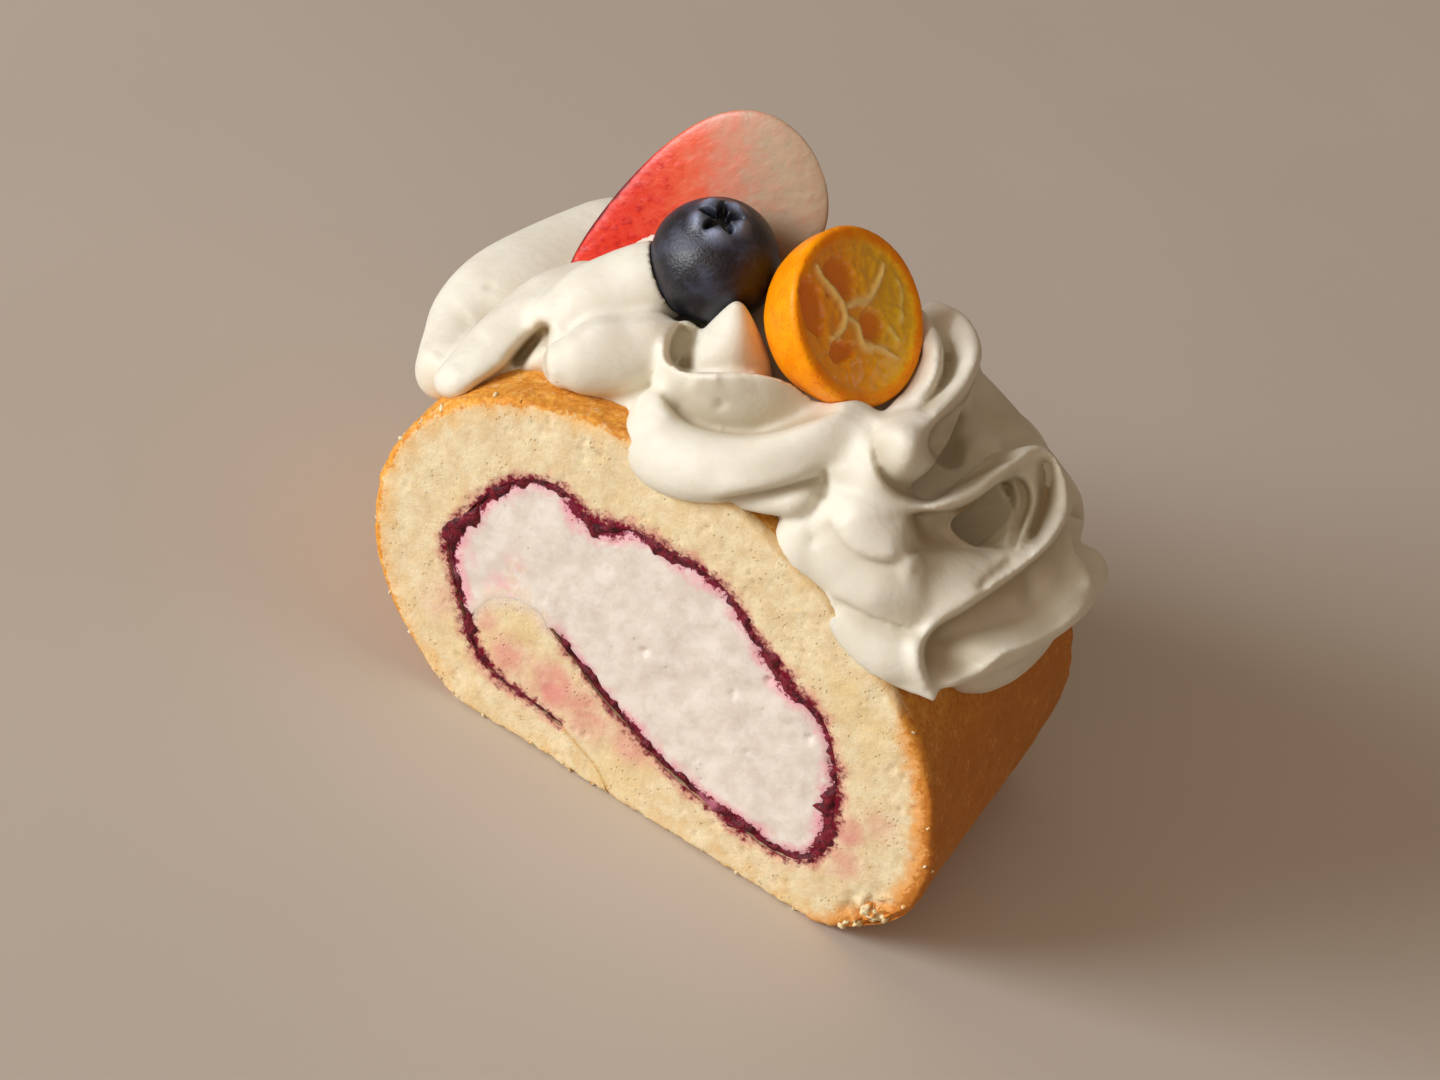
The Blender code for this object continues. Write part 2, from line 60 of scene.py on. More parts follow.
# The lights: shares of the picture's right, up and back that make the direction, then in metres how far away
# and how wide, the power and the colour
LIGHTS = (
    ("key", (-1.0, 0.45, 0.76), 2.0, 0.95, 42.5, (0.9, 0.93, 0.98)),
    ("front fill", (-0.3, 0.1, 1.0), 2.0, 1.6, 6.0, (1.0, 0.81, 0.62)),
)
ROOM_COLOUR = (1.0, 0.74, 0.56, 1)
ROOM_STRENGTH = 0.25
FLOOR_REACH = 2500
FLOOR_GAP = 0.02

# The outline of the slice, and the line between the turns of the sheet with half the jam at each knot
OUTLINE_KNOTS = (
    (-20, 0), (-29.5, 4.6), (-36.5, 12), (-39.8, 21.5), (-39.2, 30), (-34, 38.5), (-25, 43.8), (-13, 46.2),
    (0, 45.6), (12, 42), (22.5, 36.8), (31.5, 30.4), (37, 22.8), (40, 12.5), (37.2, 4.4), (30, 0),
)
OUTLINE_LEADS = ((-10, 0), (20, 0))
SEAM_KNOTS = ((1.4, 0), (-0.9, 2.4), (-4.0, 3.9))
JAM_KNOTS = (
    (-7.4, 5.3, 0.35), (-11.9, 5.9, 0.55), (-16.3, 6.4, 0.7), (-20.0, 7.9, 0.95), (-23.7, 11.8, 1.0),
    (-27.2, 16.6, 0.7), (-28.8, 20.3, 1.2), (-27.8, 25.4, 0.9), (-25.6, 30.4, 1.0), (-22.6, 33.5, 0.6),
    (-19.0, 34.6, 0.6), (-14.0, 32.9, 1.7), (-8.9, 35.0, 0.9), (-2.9, 35.1, 0.95), (2.7, 34.7, 0.85),
    (8.4, 31.4, 0.7), (14.3, 28.0, 1.5), (19.5, 26.4, 0.5), (23.2, 22.1, 0.45), (25.4, 17.5, 1.3),
    (26.8, 11.1, 1.2), (25.3, 7.4, 0.8), (21.4, 6.1, 0.5), (16.6, 6.7, 1.2), (11.5, 7.1, 0.65),
    (5.4, 8.4, 0.5), (0.1, 10.5, 0.8), (-5.3, 12.5, 0.3), (-13.3, 16.8, 0.25),
)
TAIL_KNOTS = ((-15.8, 17.9), (-19.4, 17.4), (-21.8, 15.2))
TAIL_FOOT = (-22.4, 12.5)
PATH_STEPS = 10
SHARP_ANGLE = 65

BLUEBERRY_RADIUS = 7.6
BLUEBERRY_HEIGHT = 14.4
BLUEBERRY_CENTRE = Vector((-17.7, -5.7, 60.4))
BLUEBERRY_AXIS = Vector((-0.15, -0.27, 0.95))
CROWN_LOBES = 5
CROWN_RADIUS = 2.75
CROWN_DEPTH = 1.5

KUMQUAT_RADIUS = 10.4
KUMQUAT_LENGTH = 11.6
KUMQUAT_CENTRE = Vector((0.7, -7.6, 65.3))
KUMQUAT_AXIS = Vector((0.62, -0.28, 0.73))
# The chambers open in the cut face: middle, half breadth and half length in it, and depth
KUMQUAT_CHAMBERS = (
    (-6.8, 2.2, 2.1, 3.9, 2.0), (-1.7, 4.6, 2.9, 2.8, 2.6),
    (1.8, -1.3, 2.3, 2.1, 3.0), (-3.7, -3.5, 2.4, 1.4, 2.0),
)
# The pale strands of membrane standing in the cut face, and the pale streaks painted on the flesh as
# highlights
KUMQUAT_STRANDS = (
    ((-5.3, 7.0), (-4.7, 5.4), (-3.2, 3.3), (-2.3, 1.9), (-2.2, 0.1), (-3.3, -1.3), (-5.1, -2.0)),
    ((-2.3, 1.2), (-0.2, 1.6), (2.0, 1.6), (4.2, 3.4), (5.6, 5.2)),
    ((-2.2, 0.4), (-0.7, -0.9), (-0.2, -3.3), (2.1, -4.0), (4.9, -5.8)),
)
KUMQUAT_HIGHLIGHT_STREAKS = (
    ((7.2, 3.1), (7.6, 1.9), (7.1, -0.1), (6.4, -1.8)),
    ((4.4, -2.2), (5.0, -2.7), (5.2, -3.6)),
)

KUMQUAT_SIDES = 200
KUMQUAT_RINGS = 44
KUMQUAT_PATH_STEPS = 6
# The rounding of the rim of the cut face, and where the flesh ends and the pith begins
KUMQUAT_ROUNDING = 0.7
KUMQUAT_PITH = (8.2, 9.3)

STRAWBERRY_THICKNESS = 1.8
STRAWBERRY_LENGTH = 33.8
STRAWBERRY_WIDTH = 20.4
STRAWBERRY_TIP = Vector((-34.5, 0.1, 45.1))
STRAWBERRY_TAPER = 0.75
STRAWBERRY_BLUNTNESS = 3
STRAWBERRY_TURN = 52.0
STRAWBERRY_LEAN = 15.0

# Each fold of piped cream: how far its section narrows upwards, then X, Y, Z, height and width along it
CREAM_FOLDS = {
    "bed": (0.2, ((-34, -1, 33.5, 14, 28), (-26, -1, 42, 15, 36), (-12, -2, 45.5, 13, 40),
        (3, -2, 46, 14, 40), (17, -1, 43, 18, 38), (29, 1, 36, 16, 33))),
    "nest": (0.2, ((-24, 3, 50, 12, 14), (-14, 1, 51, 12, 14), (-2, 2, 53, 14, 16),
        (8, 2, 53, 16, 18))),
    "left lobe": (0.2, ((-33.3, 13, 40.9, 16, 17), (-36.7, 7, 38.2, 16, 17), (-39.8, 1, 35.8, 15, 17),
        (-41, -4, 34, 13, 15), (-40.9, -8, 33.4, 10, 12), (-40.2, -12, 32.9, 8, 11))),
    "front petal": (0.3, ((-29.9, -6, 47, 9, 11), (-32.7, -9, 45.4, 8, 11), (-34.7, -13, 42, 7, 11),
        (-35.9, -16.8, 38.9, 6, 11.5), (-37.2, -19.4, 36.4, 4.5, 10.5))),
    "slot floor": (0.1, ((-32.1, -15.6, 41.1, 3.5, 4), (-31, -15.2, 42.3, 4, 4.5),
        (-29.9, -15, 43.4, 4.5, 5), (-28.5, -15, 44.6, 5, 5))),
    "second lobe": (0.2, ((-22.9, -8, 54.9, 10, 11), (-25.1, -9, 52.5, 10, 12),
        (-27.5, -11, 49.6, 10, 12), (-29.5, -13, 47.2, 8, 10))),
    "second lobe skirt": (0.2, ((-18.7, -14.5, 51.8, 8, 8), (-20.3, -15.5, 50.3, 8.5, 9),
        (-22.4, -17, 48.8, 9.5, 9), (-24.4, -18.5, 47.4, 8, 8), (-25.7, -19, 46.5, 6, 6))),
    "cup floor": (0.1, ((-12, -14, 46.5, 9, 10), (-6, -14.5, 48.5, 9, 10), (-1, -14, 50.5, 9, 9))),
    "curl wall": (0.6, ((3.7, -13, 52.6, 7, 5), (0.1, -15.5, 53.7, 8, 4.5), (-3.1, -18, 54.3, 10, 4),
        (-6.3, -19.5, 52.5, 11, 4), (-9.3, -20, 50.6, 11, 4), (-11.9, -19.5, 49.9, 10, 3.5),
        (-14.6, -17.5, 50.2, 9, 3.2), (-15.6, -14.5, 51.8, 8, 3), (-15.4, -12, 53.9, 6, 3))),
    "band": (0.15, ((-12.5, -19.5, 47.2, 8, 9), (-11.2, -21, 45.2, 9, 9.5), (-7.4, -22, 45.7, 8.5, 10),
        (-3, -22, 47.9, 7.5, 10), (0.8, -21, 50.5, 7, 9.5), (3.8, -18.5, 53.2, 8, 8.5),
        (6.7, -15, 55.7, 9.5, 8))),
    "first ridge": (0.5, ((4.7, 5, 58.7, 8, 4), (8.1, 0, 59.9, 8, 4), (9.9, -4, 59.6, 8, 4.5),
        (10.5, -7.5, 58.2, 8, 5), (10.1, -11, 56.9, 8, 5.5), (8.9, -13.5, 55, 8, 6),
        (7.1, -15.5, 52.5, 8.5, 8))),
    "under fold": (0.1, ((-5.0, -21.9, 45, 4, 4), (-1.7, -22.1, 46.1, 4.5, 4.8),
        (1.7, -22.2, 47.4, 4.5, 5), (4.8, -21.5, 49.3, 6, 6))),
    "second ridge": (0.35, ((5.9, 9, 58, 8, 5), (9.1, 6, 60.1, 8, 4.5), (11.9, 2, 60.7, 8, 4.5),
        (13.2, -2, 60.1, 8, 4.5), (13.4, -6.5, 59.2, 8.5, 6), (13.4, -11.5, 58.7, 9, 8),
        (13.2, -15.5, 58.9, 9, 9), (13.0, -17.5, 59.2, 7, 8))),
    "outer ribbon": (0.55, ((8.5, -15, 51.2, 8, 5), (11.2, -17.5, 50, 9, 5), (14.5, -18.5, 49.9, 9, 5),
        (17.5, -17, 50.7, 9, 4), (20, -13, 52.5, 9, 4), (21.4, -9, 54.6, 9, 4), (22.5, -5, 56, 9, 4),
        (24.2, -2, 55.7, 9, 4), (27.2, -2, 53.6, 9, 4), (29, -4, 51.1, 9, 4), (29.1, -8, 48.9, 9, 5),
        (27.9, -12, 46.3, 9, 5), (25.9, -16, 43.2, 9, 5), (23.9, -19, 40.4, 9, 5),
        (23.6, -21.5, 37.9, 8, 4), (27.7, -23, 36.4, 3, 2))),
    "inner ribbon": (0.5, ((21.3, -2, 52.5, 8, 3.5), (24.2, -3, 52.2, 8, 3.5), (26, -5, 50.3, 8, 3.5),
        (26.8, -9, 49, 8, 3.5), (26.6, -12.5, 47.7, 7, 4))),
    "front lobe": (0.1, ((29.6, -12, 46.4, 7, 8), (25.9, -15, 46, 9, 11), (21.6, -16, 45.6, 12, 14),
        (16.4, -17.6, 45.7, 17, 16), (12.6, -19.2, 45.4, 16, 13), (9.3, -20.3, 44.2, 10, 9.2))),
    "body": (0.1, ((8.2, -13.5, 51.2, 8, 10), (9.8, -16, 49.6, 9, 11), (11.4, -17.2, 47.4, 9, 11),
        (12.2, -17.8, 45.4, 8, 10))),
    "bridge": (0.1, ((4.7, -15.7, 53.7, 9, 9), (8.4, -15.4, 54.0, 10, 10), (11.3, -16.2, 54.6, 9, 9))),
    "under lobe": (0.1, ((16.9, -21.6, 39.9, 8, 7), (19.7, -21.8, 38.9, 8, 7.5),
        (23.1, -21.6, 38.4, 8.5, 8), (26, -21.2, 38.5, 7, 7))),
    "shoulder": (0.1, ((28.6, -3, 50.6, 8, 8), (30.8, -4, 48.6, 8, 8), (31.6, -7, 47.6, 7, 7))),
    "brim point": (0.1, ((34.6, -3, 46.6, 6, 6), (36.3, -3.6, 47.4, 4, 4), (37.3, -4, 47.9, 2, 2))),
    "tip": (0.1, ((24.6, -21.3, 39.2, 5, 5), (27.4, -22.3, 37.7, 3.8, 3.6),
        (30.0, -23.3, 36.3, 1.6, 1.6))),
    "right wall": (0.1, ((25, 9, 42, 14, 13), (29.5, 3, 38.6, 14, 12), (30.6, -7, 38.6, 15, 11),
        (27.8, -15, 39.4, 12, 10))),
    "right brim": (0.1, ((34.9, 3, 43.2, 9, 8), (34.7, -4, 43.5, 10, 8), (33.3, -10, 42.4, 9, 8),
        (31.2, -16, 40.6, 8, 7), (29.2, -20, 39.2, 6, 6))),
    "back lobe one": (0.1, ((-22, 5, 49, 12, 17), (-23.5, 12, 47.5, 13, 19), (-25, 18, 45, 11, 17),
        (-26, 22, 42.5, 8, 12))),
    "back lobe two": (0.1, ((-8.5, 6, 51, 13, 18), (-9, 13, 49.5, 14, 20), (-9.5, 19, 47.3, 12, 17),
        (-11, 23, 45, 8, 12))),
    "back lobe three": (0.1, ((6, 6, 51, 13, 18), (6.5, 13, 49, 14, 20), (6.5, 19, 46.5, 12, 17),
        (5.5, 23, 44, 8, 12))),
    "back lobe four": (0.1, ((19, 5, 47, 12, 17), (20, 12, 44.5, 13, 18), (21, 18, 41.5, 11, 16),
        (20.5, 22, 39, 8, 11))),
    "back mound": (0.1, ((5, 11, 48, 18, 14), (16, 9, 46.5, 17, 14), (26.5, 7, 43.5, 16, 14))),
}
FOLD_STEPS = 8
FOLD_SIDES = 24
FOLD_CAPS = (20, 40, 58, 74)
PEAK_PLACE = Vector((-10.0, -12.0, 53.5))
PEAK_AXIS = Vector((-0.25, 0.0, 1.0))
PEAK_PROFILE = ((0, 8.2), (0.7, 7.8), (1.7, 6.4), (3.2, 3.9), (4.7, 1.2), (5.4, -1.5), (4, -4), (0, -5))
CREAM_VOXEL = 0.32
CREAM_BITE = 0.55
ROLL_SPACE_SETBACK = 0.25
CREAM_TRIANGLES = 190000

# The lips of the folds as the camera sees them: how far the side to the left of the line stands out and
# over what width, how far the side to its right sinks and over what width, then the line in pixels
CREAM_LIPS = {
    "band over wall": (0.7, 3.0, 2.4, 3.6, ((845, 410), (825, 418), (800, 426), (785, 431), (760, 436),
        (735, 436), (710, 432), (690, 425), (675, 415), (664, 402), (655, 390))),
    "cup front": (1.5, 2.4, 0.5, 1.2, ((768, 372), (740, 372), (700, 372), (685, 370))),
    "cup side": (0.4, 1.2, 2.6, 3.0, ((700, 372), (685, 370), (671, 363), (667, 350), (671, 335),
        (680, 321), (693, 312))),
    "peak side": (0.4, 3.0, 1.4, 2.0, ((722, 306), (708, 316), (700, 330), (697, 350), (697, 368))),
    "second lobe": (0.15, 3.5, 0.35, 3.0, ((690, 322), (640, 321), (600, 325), (580, 335), (570, 338),
        (555, 326))),
    "petal": (0.3, 2.0, 2.4, 1.2, ((462, 396), (480, 381), (500, 367), (518, 347), (532, 332),
        (546, 319))),
    "slot": (0.3, 2.0, 2.4, 1.2, ((552, 322), (549, 345), (548, 365), (553, 382))),
    "petal seam": (0.4, 3.0, 0.5, 4.0, ((540, 288), (495, 312), (465, 335), (447, 358), (436, 380))),
    "band foot": (0.3, 2.0, 2.6, 1.2, ((712, 497), (740, 493), (780, 485), (828, 472))),
    "body side": (0.6, 2.0, 1.6, 1.4, ((828, 466), (829, 485), (828, 502))),
    "body foot": (0.5, 3.0, 1.0, 2.6, ((831, 515), (838, 531), (848, 544), (862, 554), (882, 560),
        (905, 557))),
    "first groove": (0.8, 1.5, 3.4, 1.1, ((914, 409), (923, 401), (932, 391), (939, 379), (943, 365),
        (943, 350), (938, 334))),
    "second ridge": (0.9, 2.2, 4.6, 4.0, ((946, 471), (933, 459), (926, 445), (929, 431), (939, 419),
        (952, 408), (964, 396), (974, 378), (981, 358), (982, 340))),
    "ribbon": (0.7, 1.4, 2.3, 1.9, ((1030, 450), (1015, 460), (1000, 467), (980, 478), (960, 488),
        (942, 498), (925, 502), (910, 499), (895, 492), (882, 480), (875, 466), (871, 452), (869, 438),
        (870, 422))),
    "hollow top": (0.6, 0.9, 5.5, 5.0, ((904, 513), (925, 510), (950, 509), (972, 500), (990, 488),
        (1002, 481), (1016, 477))),
    "hollow foot": (0.6, 2.5, 2.4, 3.0, ((1014, 553), (975, 547), (945, 549), (925, 553), (904, 557))),
    "inner strip": (0.9, 0.7, 3.4, 1.2, ((1010, 474), (1024, 479), (1031, 492), (1031, 506),
        (1026, 521), (1021, 536), (1014, 558))),
    "outer loop": (0.8, 1.6, 3.0, 4.5, ((932, 692), (926, 672), (923, 655), (926, 640), (938, 625),
        (962, 611), (990, 592), (1016, 573), (1036, 557), (1053, 540), (1067, 517), (1074, 495))),
    "front lobe foot": (0.4, 3.0, 1.2, 2.0, ((830, 593), (860, 608), (880, 617), (905, 624),
        (926, 627))),
}
# Narrow grooves (negative) and thin crests: height, half width and line in pixels
CREAM_LINES = {
    "loop slot": (-3.2, 0.8, ((1042, 455), (1046, 470), (1047, 490), (1044, 508), (1036, 529),
        (1027, 545))),
    "loop foot": (-1.0, 0.45, ((1014, 558), (1003, 568), (990, 578), (977, 591))),
    "fruit gap": (-2.0, 0.7, ((920, 345), (918, 362), (911, 382), (896, 399))),
    "first crest": (1.2, 0.9, ((926, 334), (933, 348), (935, 362), (931, 376), (922, 388), (908, 400),
        (888, 414), (868, 430))),
    "second crest": (1.0, 1.5, ((973, 334), (970, 355), (962, 375), (950, 392), (936, 405),
        (924, 414))),
    "side crest": (0.7, 0.8, ((915, 630), (914, 650), (918, 672), (931, 691))),
    "mound seam": (-0.6, 0.8, ((985, 456), (1005, 448), (1020, 443), (1040, 437))),
    "slot bed": (-3.0, 0.8, ((550, 323), (538, 336), (525, 350), (511, 367))),
    "flank edge": (0.6, 0.5, ((934, 690), (960, 681), (985, 668), (1005, 653), (1030, 645), (1055, 632),
        (1080, 612), (1100, 590))),
}
# Round swellings and dents: the middle in pixels, half breadth and half height in millimetres, height, and
# how steep the sides are
CREAM_SWELLS = (
    (907, 453, 2.3, 3.6, 1.5, 2.5), (890, 426, 2.8, 2.4, 0.9, 2), (972, 446, 1.8, 1.4, 1.4, 2),
    (720, 404, 0.45, 0.55, -0.8, 2), (813, 541, 0.4, 0.5, -0.6, 2),
    (489, 287, 0.5, 0.4, -0.5, 2), (917, 571, 0.35, 0.5, -0.5, 2),
    (862, 497, 4.0, 5.5, 1.3, 2), (738, 345, 3.2, 4.2, 0.9, 2),
    (860, 411, 2.0, 1.5, -0.9, 2), (1015, 410, 4.0, 3.5, -1.2, 2), (960, 668, 2.6, 2.0, -1.6, 2),
    (1012, 620, 5.5, 2.4, -1.4, 2),
)
# Hollows under the lips: the middle in pixels, half length, half breadth and depth, the turn in degrees, and
# how much painted shade their cream gets
CREAM_HOLLOWS = ((964, 522, 7.0, 3.2, 4.6, 33, 0.2), (948, 443, 2.8, 3.8, 3.2, -25, 0.4))
HOLLOW_STEPS = 24
HOLLOW_SIDES = 40
PIXELS_PER_MM = 8.6
# How far in front of or behind a line a corner may lie to follow it wholly, how far to follow it at all,
# and how far past and before its ends the line fades, as shares of its length
LINE_DEPTHS = (3.0, 6.0)
LINE_ENDS = (-0.02, 0.15)
# The sink of a crease whose painted shade is the deepest
CREASE_DEPTH = 4.0
# How strongly the joins of the folds are smoothed away, and where: pixels across the picture
SWIRL_ROUNDS = 34
SWIRL_START = (800, 850)
CURL_START = (630, 660)

# Patches on the cut face: X, Z, radius and strength
JAM_STAINS = (
    (-5.2, 8.8, 5.0, 0.8), (1.4, 8.6, 4.2, 0.7), (-10.5, 9.5, 5.0, 0.95), (-16.5, 10.0, 4.5, 0.75),
    (-21.5, 12.5, 3.2, 0.6), (-27.0, 12.0, 4.0, 0.35), (28.6, 14.4, 3.2, 0.9), (29.6, 10.0, 3.6, 0.6),
    (31.5, 17.5, 3.0, 0.4),
)
CREAM_STAINS = ((-20.6, 17.6, 3.4, 0.55), (-20.6, 21.8, 2.4, 0.25), (-26.0, 19.0, 2.0, 0.3))
CREAM_CRUMBS = ((-20.4, 20.4, 3.0, 0.5), (-18.6, 18.0, 3.2, 0.5))
CLEAR_JAM = ((-27.6, 16.2, 1.6, 0.8), (12.3, 7.3, 2.2, 0.75), (-28.9, 18.0, 1.2, 0.6))
# Where the crumb is broken away: X, Z and radius
BROKEN_CORNER = (36.4, 5.5, 5.5)

# How flat faces are filled: the spacing of the corners, the height of an even triangle as a share of its
# side, and as shares of the spacing how far corners are scattered and how far they keep from the rim
CUT_PITCH = 0.42
JAM_PITCH = 0.3
KUMQUAT_PITCH = 0.27
TRIANGLE_HEIGHT = 0.866
CORNER_JITTER = 0.18
RIM_CLEARANCE = 0.55

# Half the gap between the turns of the sheet along the seam, at the seam's foot and along the jam
SEAM_GAP = 0.015
SEAM_FOOT = 0.03
JAM_GAP = 0.25
SPONGE_SETBACK = 1.0
SPONGE_EDGE_ROWS = (0.25, 0.6, 1.1, 1.8, 2.8)
SPONGE_ROW_GAP = 1.3
SPONGE_ROWS = 26
SKIN_REACH = 1.4
JAM_SETBACK = 1.3
JAM_TEAR = 1.15
FILLING_SETBACK = 1.0
INNER_ROWS = 6
# A distance at which a field has no more effect
FAR = 5.0

CRUMB_SPACING = 0.35
CRUMB_DENSITY = 1.6
CRUMB_RADIUS = 0.5
CRUMB_SHAPES = ((0.3, 0.3, 0.3), (1.1, 1.1, 1.1))
CRUMB_LUMPS = 0.7
CRUMB_RAGGEDNESS = 1.4
CRUMB_SINK = 0.12


# The colours of the finishes, as a screen shows them from 0 to 255
COLOURS = {
    "crumb": (229, 207, 163), "pale crumb": (239, 223, 184), "toasted grain": (222, 194, 138),
    # The first colour below is painted shade for the crumb in its open pores
    "painted pore shade": (198, 164, 104), "yellow crumb": (230, 202, 134), "golden crumb": (240, 190, 116),
    "crust bit": (230, 158, 76), "glowing rim": (232, 152, 62), "crust": (210, 134, 46),
    "light crust": (237, 170, 70), "dark crust": (184, 104, 30), "pale crust": (242, 188, 98),
    "shaded crust": (186, 110, 40), "stained crumb": (224, 150, 138), "smeared cream": (232, 212, 190),
    "seam": (226, 178, 104), "soaked crumb": (118, 14, 40),
    "dark jam": (66, 2, 16), "jam": (120, 12, 36), "bright jam": (164, 52, 74), "clear jam": (190, 108, 128),
    "filling": (224, 214, 200), "pale filling": (235, 227, 215), "filling speck": (190, 176, 160),
    "blushed filling": (238, 168, 180), "dragged crumb": (222, 188, 146), "soaked filling": (120, 14, 42),
    "cream": (225, 220, 202), "pale cream": (232, 228, 212), "cream speck": (214, 198, 168),
    # The colour below is painted shade for the cream in its creases and hollows
    "painted crease shade": (156, 132, 84),
    "clear flesh": (184, 162, 136), "pink flesh": (214, 138, 112), "orange flesh": (230, 96, 62),
    "red flesh": (218, 48, 24), "deep red flesh": (186, 18, 8), "strawberry skin": (104, 2, 14),
    "berry skin": (14, 13, 24), "bloom": (66, 72, 94), "crown bloom": (142, 152, 178), "pit": (5, 5, 8),
    "rind": (250, 142, 0), "bright rind": (255, 160, 0), "rind pore": (216, 98, 0),
    "shaded flesh": (255, 160, 0), "lit flesh": (250, 196, 24), "grainy flesh": (236, 182, 58),
    # The first colour below is a painted highlight, for pale streaks on the kumquat's flesh
    "painted highlight streak": (255, 232, 140), "chamber": (240, 132, 0), "strand": (250, 210, 128),
    "loose crumb": (236, 216, 170), "crusty crumb": (222, 150, 70),
    "table": (211, 202, 189), "pale table": (215, 206, 193),
}


def tint(name):
    """A screen colour as the shader's linear one."""
    parts = [c / 255 for c in COLOURS[name]]
    return (*(c / 12.92 if c <= 0.04045 else ((c + 0.055) / 1.055) ** 2.4 for c in parts), 1.0)


def add_node(tree, kind, settings, values):
    """Adds a node: its settings first, then the values or links of its sockets."""
    made = tree.nodes.new(kind)
    for name, value in settings.items():
        setattr(made, name, value)
    for slot, value in values.items():
        if isinstance(value, bpy.types.NodeSocket):
            tree.links.new(value, made.inputs[slot])
        else:
            made.inputs[slot].default_value = value
    return made.outputs


class Socket:
    """A value in a finish. Sums on it add their Math nodes."""

    def __init__(self, finish, socket):
        self.finish = finish
        self.socket = socket

    def math(self, operation, *values):
        return self.finish.node("ShaderNodeMath", {"operation": operation}, values)

    def __add__(self, other):
        return self.math("ADD", self, other)

    def __sub__(self, other):
        return self.math("SUBTRACT", self, other)

    def __rsub__(self, other):
        return self.math("SUBTRACT", other, self)

    def __mul__(self, other):
        return self.math("MULTIPLY", self, other)

    __radd__ = __add__
    __rmul__ = __mul__

    def largest(self, other):
        return self.math("MAXIMUM", self, other)

    def between(self, low, high):
        """0 at low and 1 at high, smoothly."""
        settings = {"interpolation_type": "SMOOTHSTEP"}
        return self.finish.node("ShaderNodeMapRange", settings, (self, low, high))

    def fading(self, low, high):
        """1 at low and 0 at high, smoothly."""
        return 1 - self.between(low, high)


class Finish:
    """A procedural material for one kind of surface. Its patterns are sized in millimetres."""

    def __init__(self, name, **constants):
        self.material = bpy.data.materials.new(name)
        self.material.use_nodes = True
        self.tree = self.material.node_tree
        self.shader = self.tree.nodes["Principled BSDF"]
        for socket, value in constants.items():
            self.shader.inputs[socket.replace("_", " ")].default_value = value
        place = self.node("ShaderNodeTexCoord", {}, (), "Object")
        self.place = self.node("ShaderNodeVectorMath", {"operation": "SCALE"}, {0: place, "Scale": 1 / MM})

    def node(self, kind, settings, values, output=0):
        """A node fed by values or by sockets of the finish, and the socket that it gives."""
        slots = values if isinstance(values, dict) else dict(enumerate(values))
        bare = {slot: value.socket if isinstance(value, Socket) else value for slot, value in slots.items()}
        return Socket(self, add_node(self.tree, kind, settings, bare)[output])

    def stretched(self, *scales):
        """The place on the piece, stretched along each axis."""
        return self.node("ShaderNodeVectorMath", {"operation": "MULTIPLY"}, {0: self.place, 1: scales})

    def lumps(self, size, detail=2.0, roughness=0.5, place=None):
        """Cloudy noise from 0 to 1 with lumps of a size."""
        values = {"Vector": place or self.place, "Scale": 1 / size, "Detail": detail, "Roughness": roughness}
        return self.node("ShaderNodeTexNoise", {}, values)

    def cells(self, size):
        """The distance from the middles of cells of a size."""
        return self.node("ShaderNodeTexVoronoi", {}, {"Vector": self.place, "Scale": 1 / size})

    def field(self, name):
        """A value kept at each corner of the mesh."""
        return self.node("ShaderNodeAttribute", {"attribute_name": name}, (), "Fac")

    def blend(self, share, one, two):
        """One colour turning into another."""
        return self.node("ShaderNodeMix", {"data_type": "RGBA"}, {0: share, 6: one, 7: two}, 2)

    def layers(self, share, one, two, *more):
        """Two colours mottled by a share, then more colours over them, each after its own share."""
        colour = self.blend(share, tint(one), tint(two))
        for cover, name in zip(more[::2], more[1::2]):
            colour = self.blend(cover, colour, tint(name))
        return colour

    def bump(self, height, reach):
        """A relief of a height from 0 to 1, as deep as the reach in millimetres."""
        return self.node("ShaderNodeBump", {}, {"Strength": 1.0, "Distance": reach * MM, "Height": height})

    def paint(self, **links):
        """Feeds the shader's sockets, and gives the material."""
        for socket, value in links.items():
            self.tree.links.new(value.socket, self.shader.inputs[socket.replace("_", " ")])
        return self.material


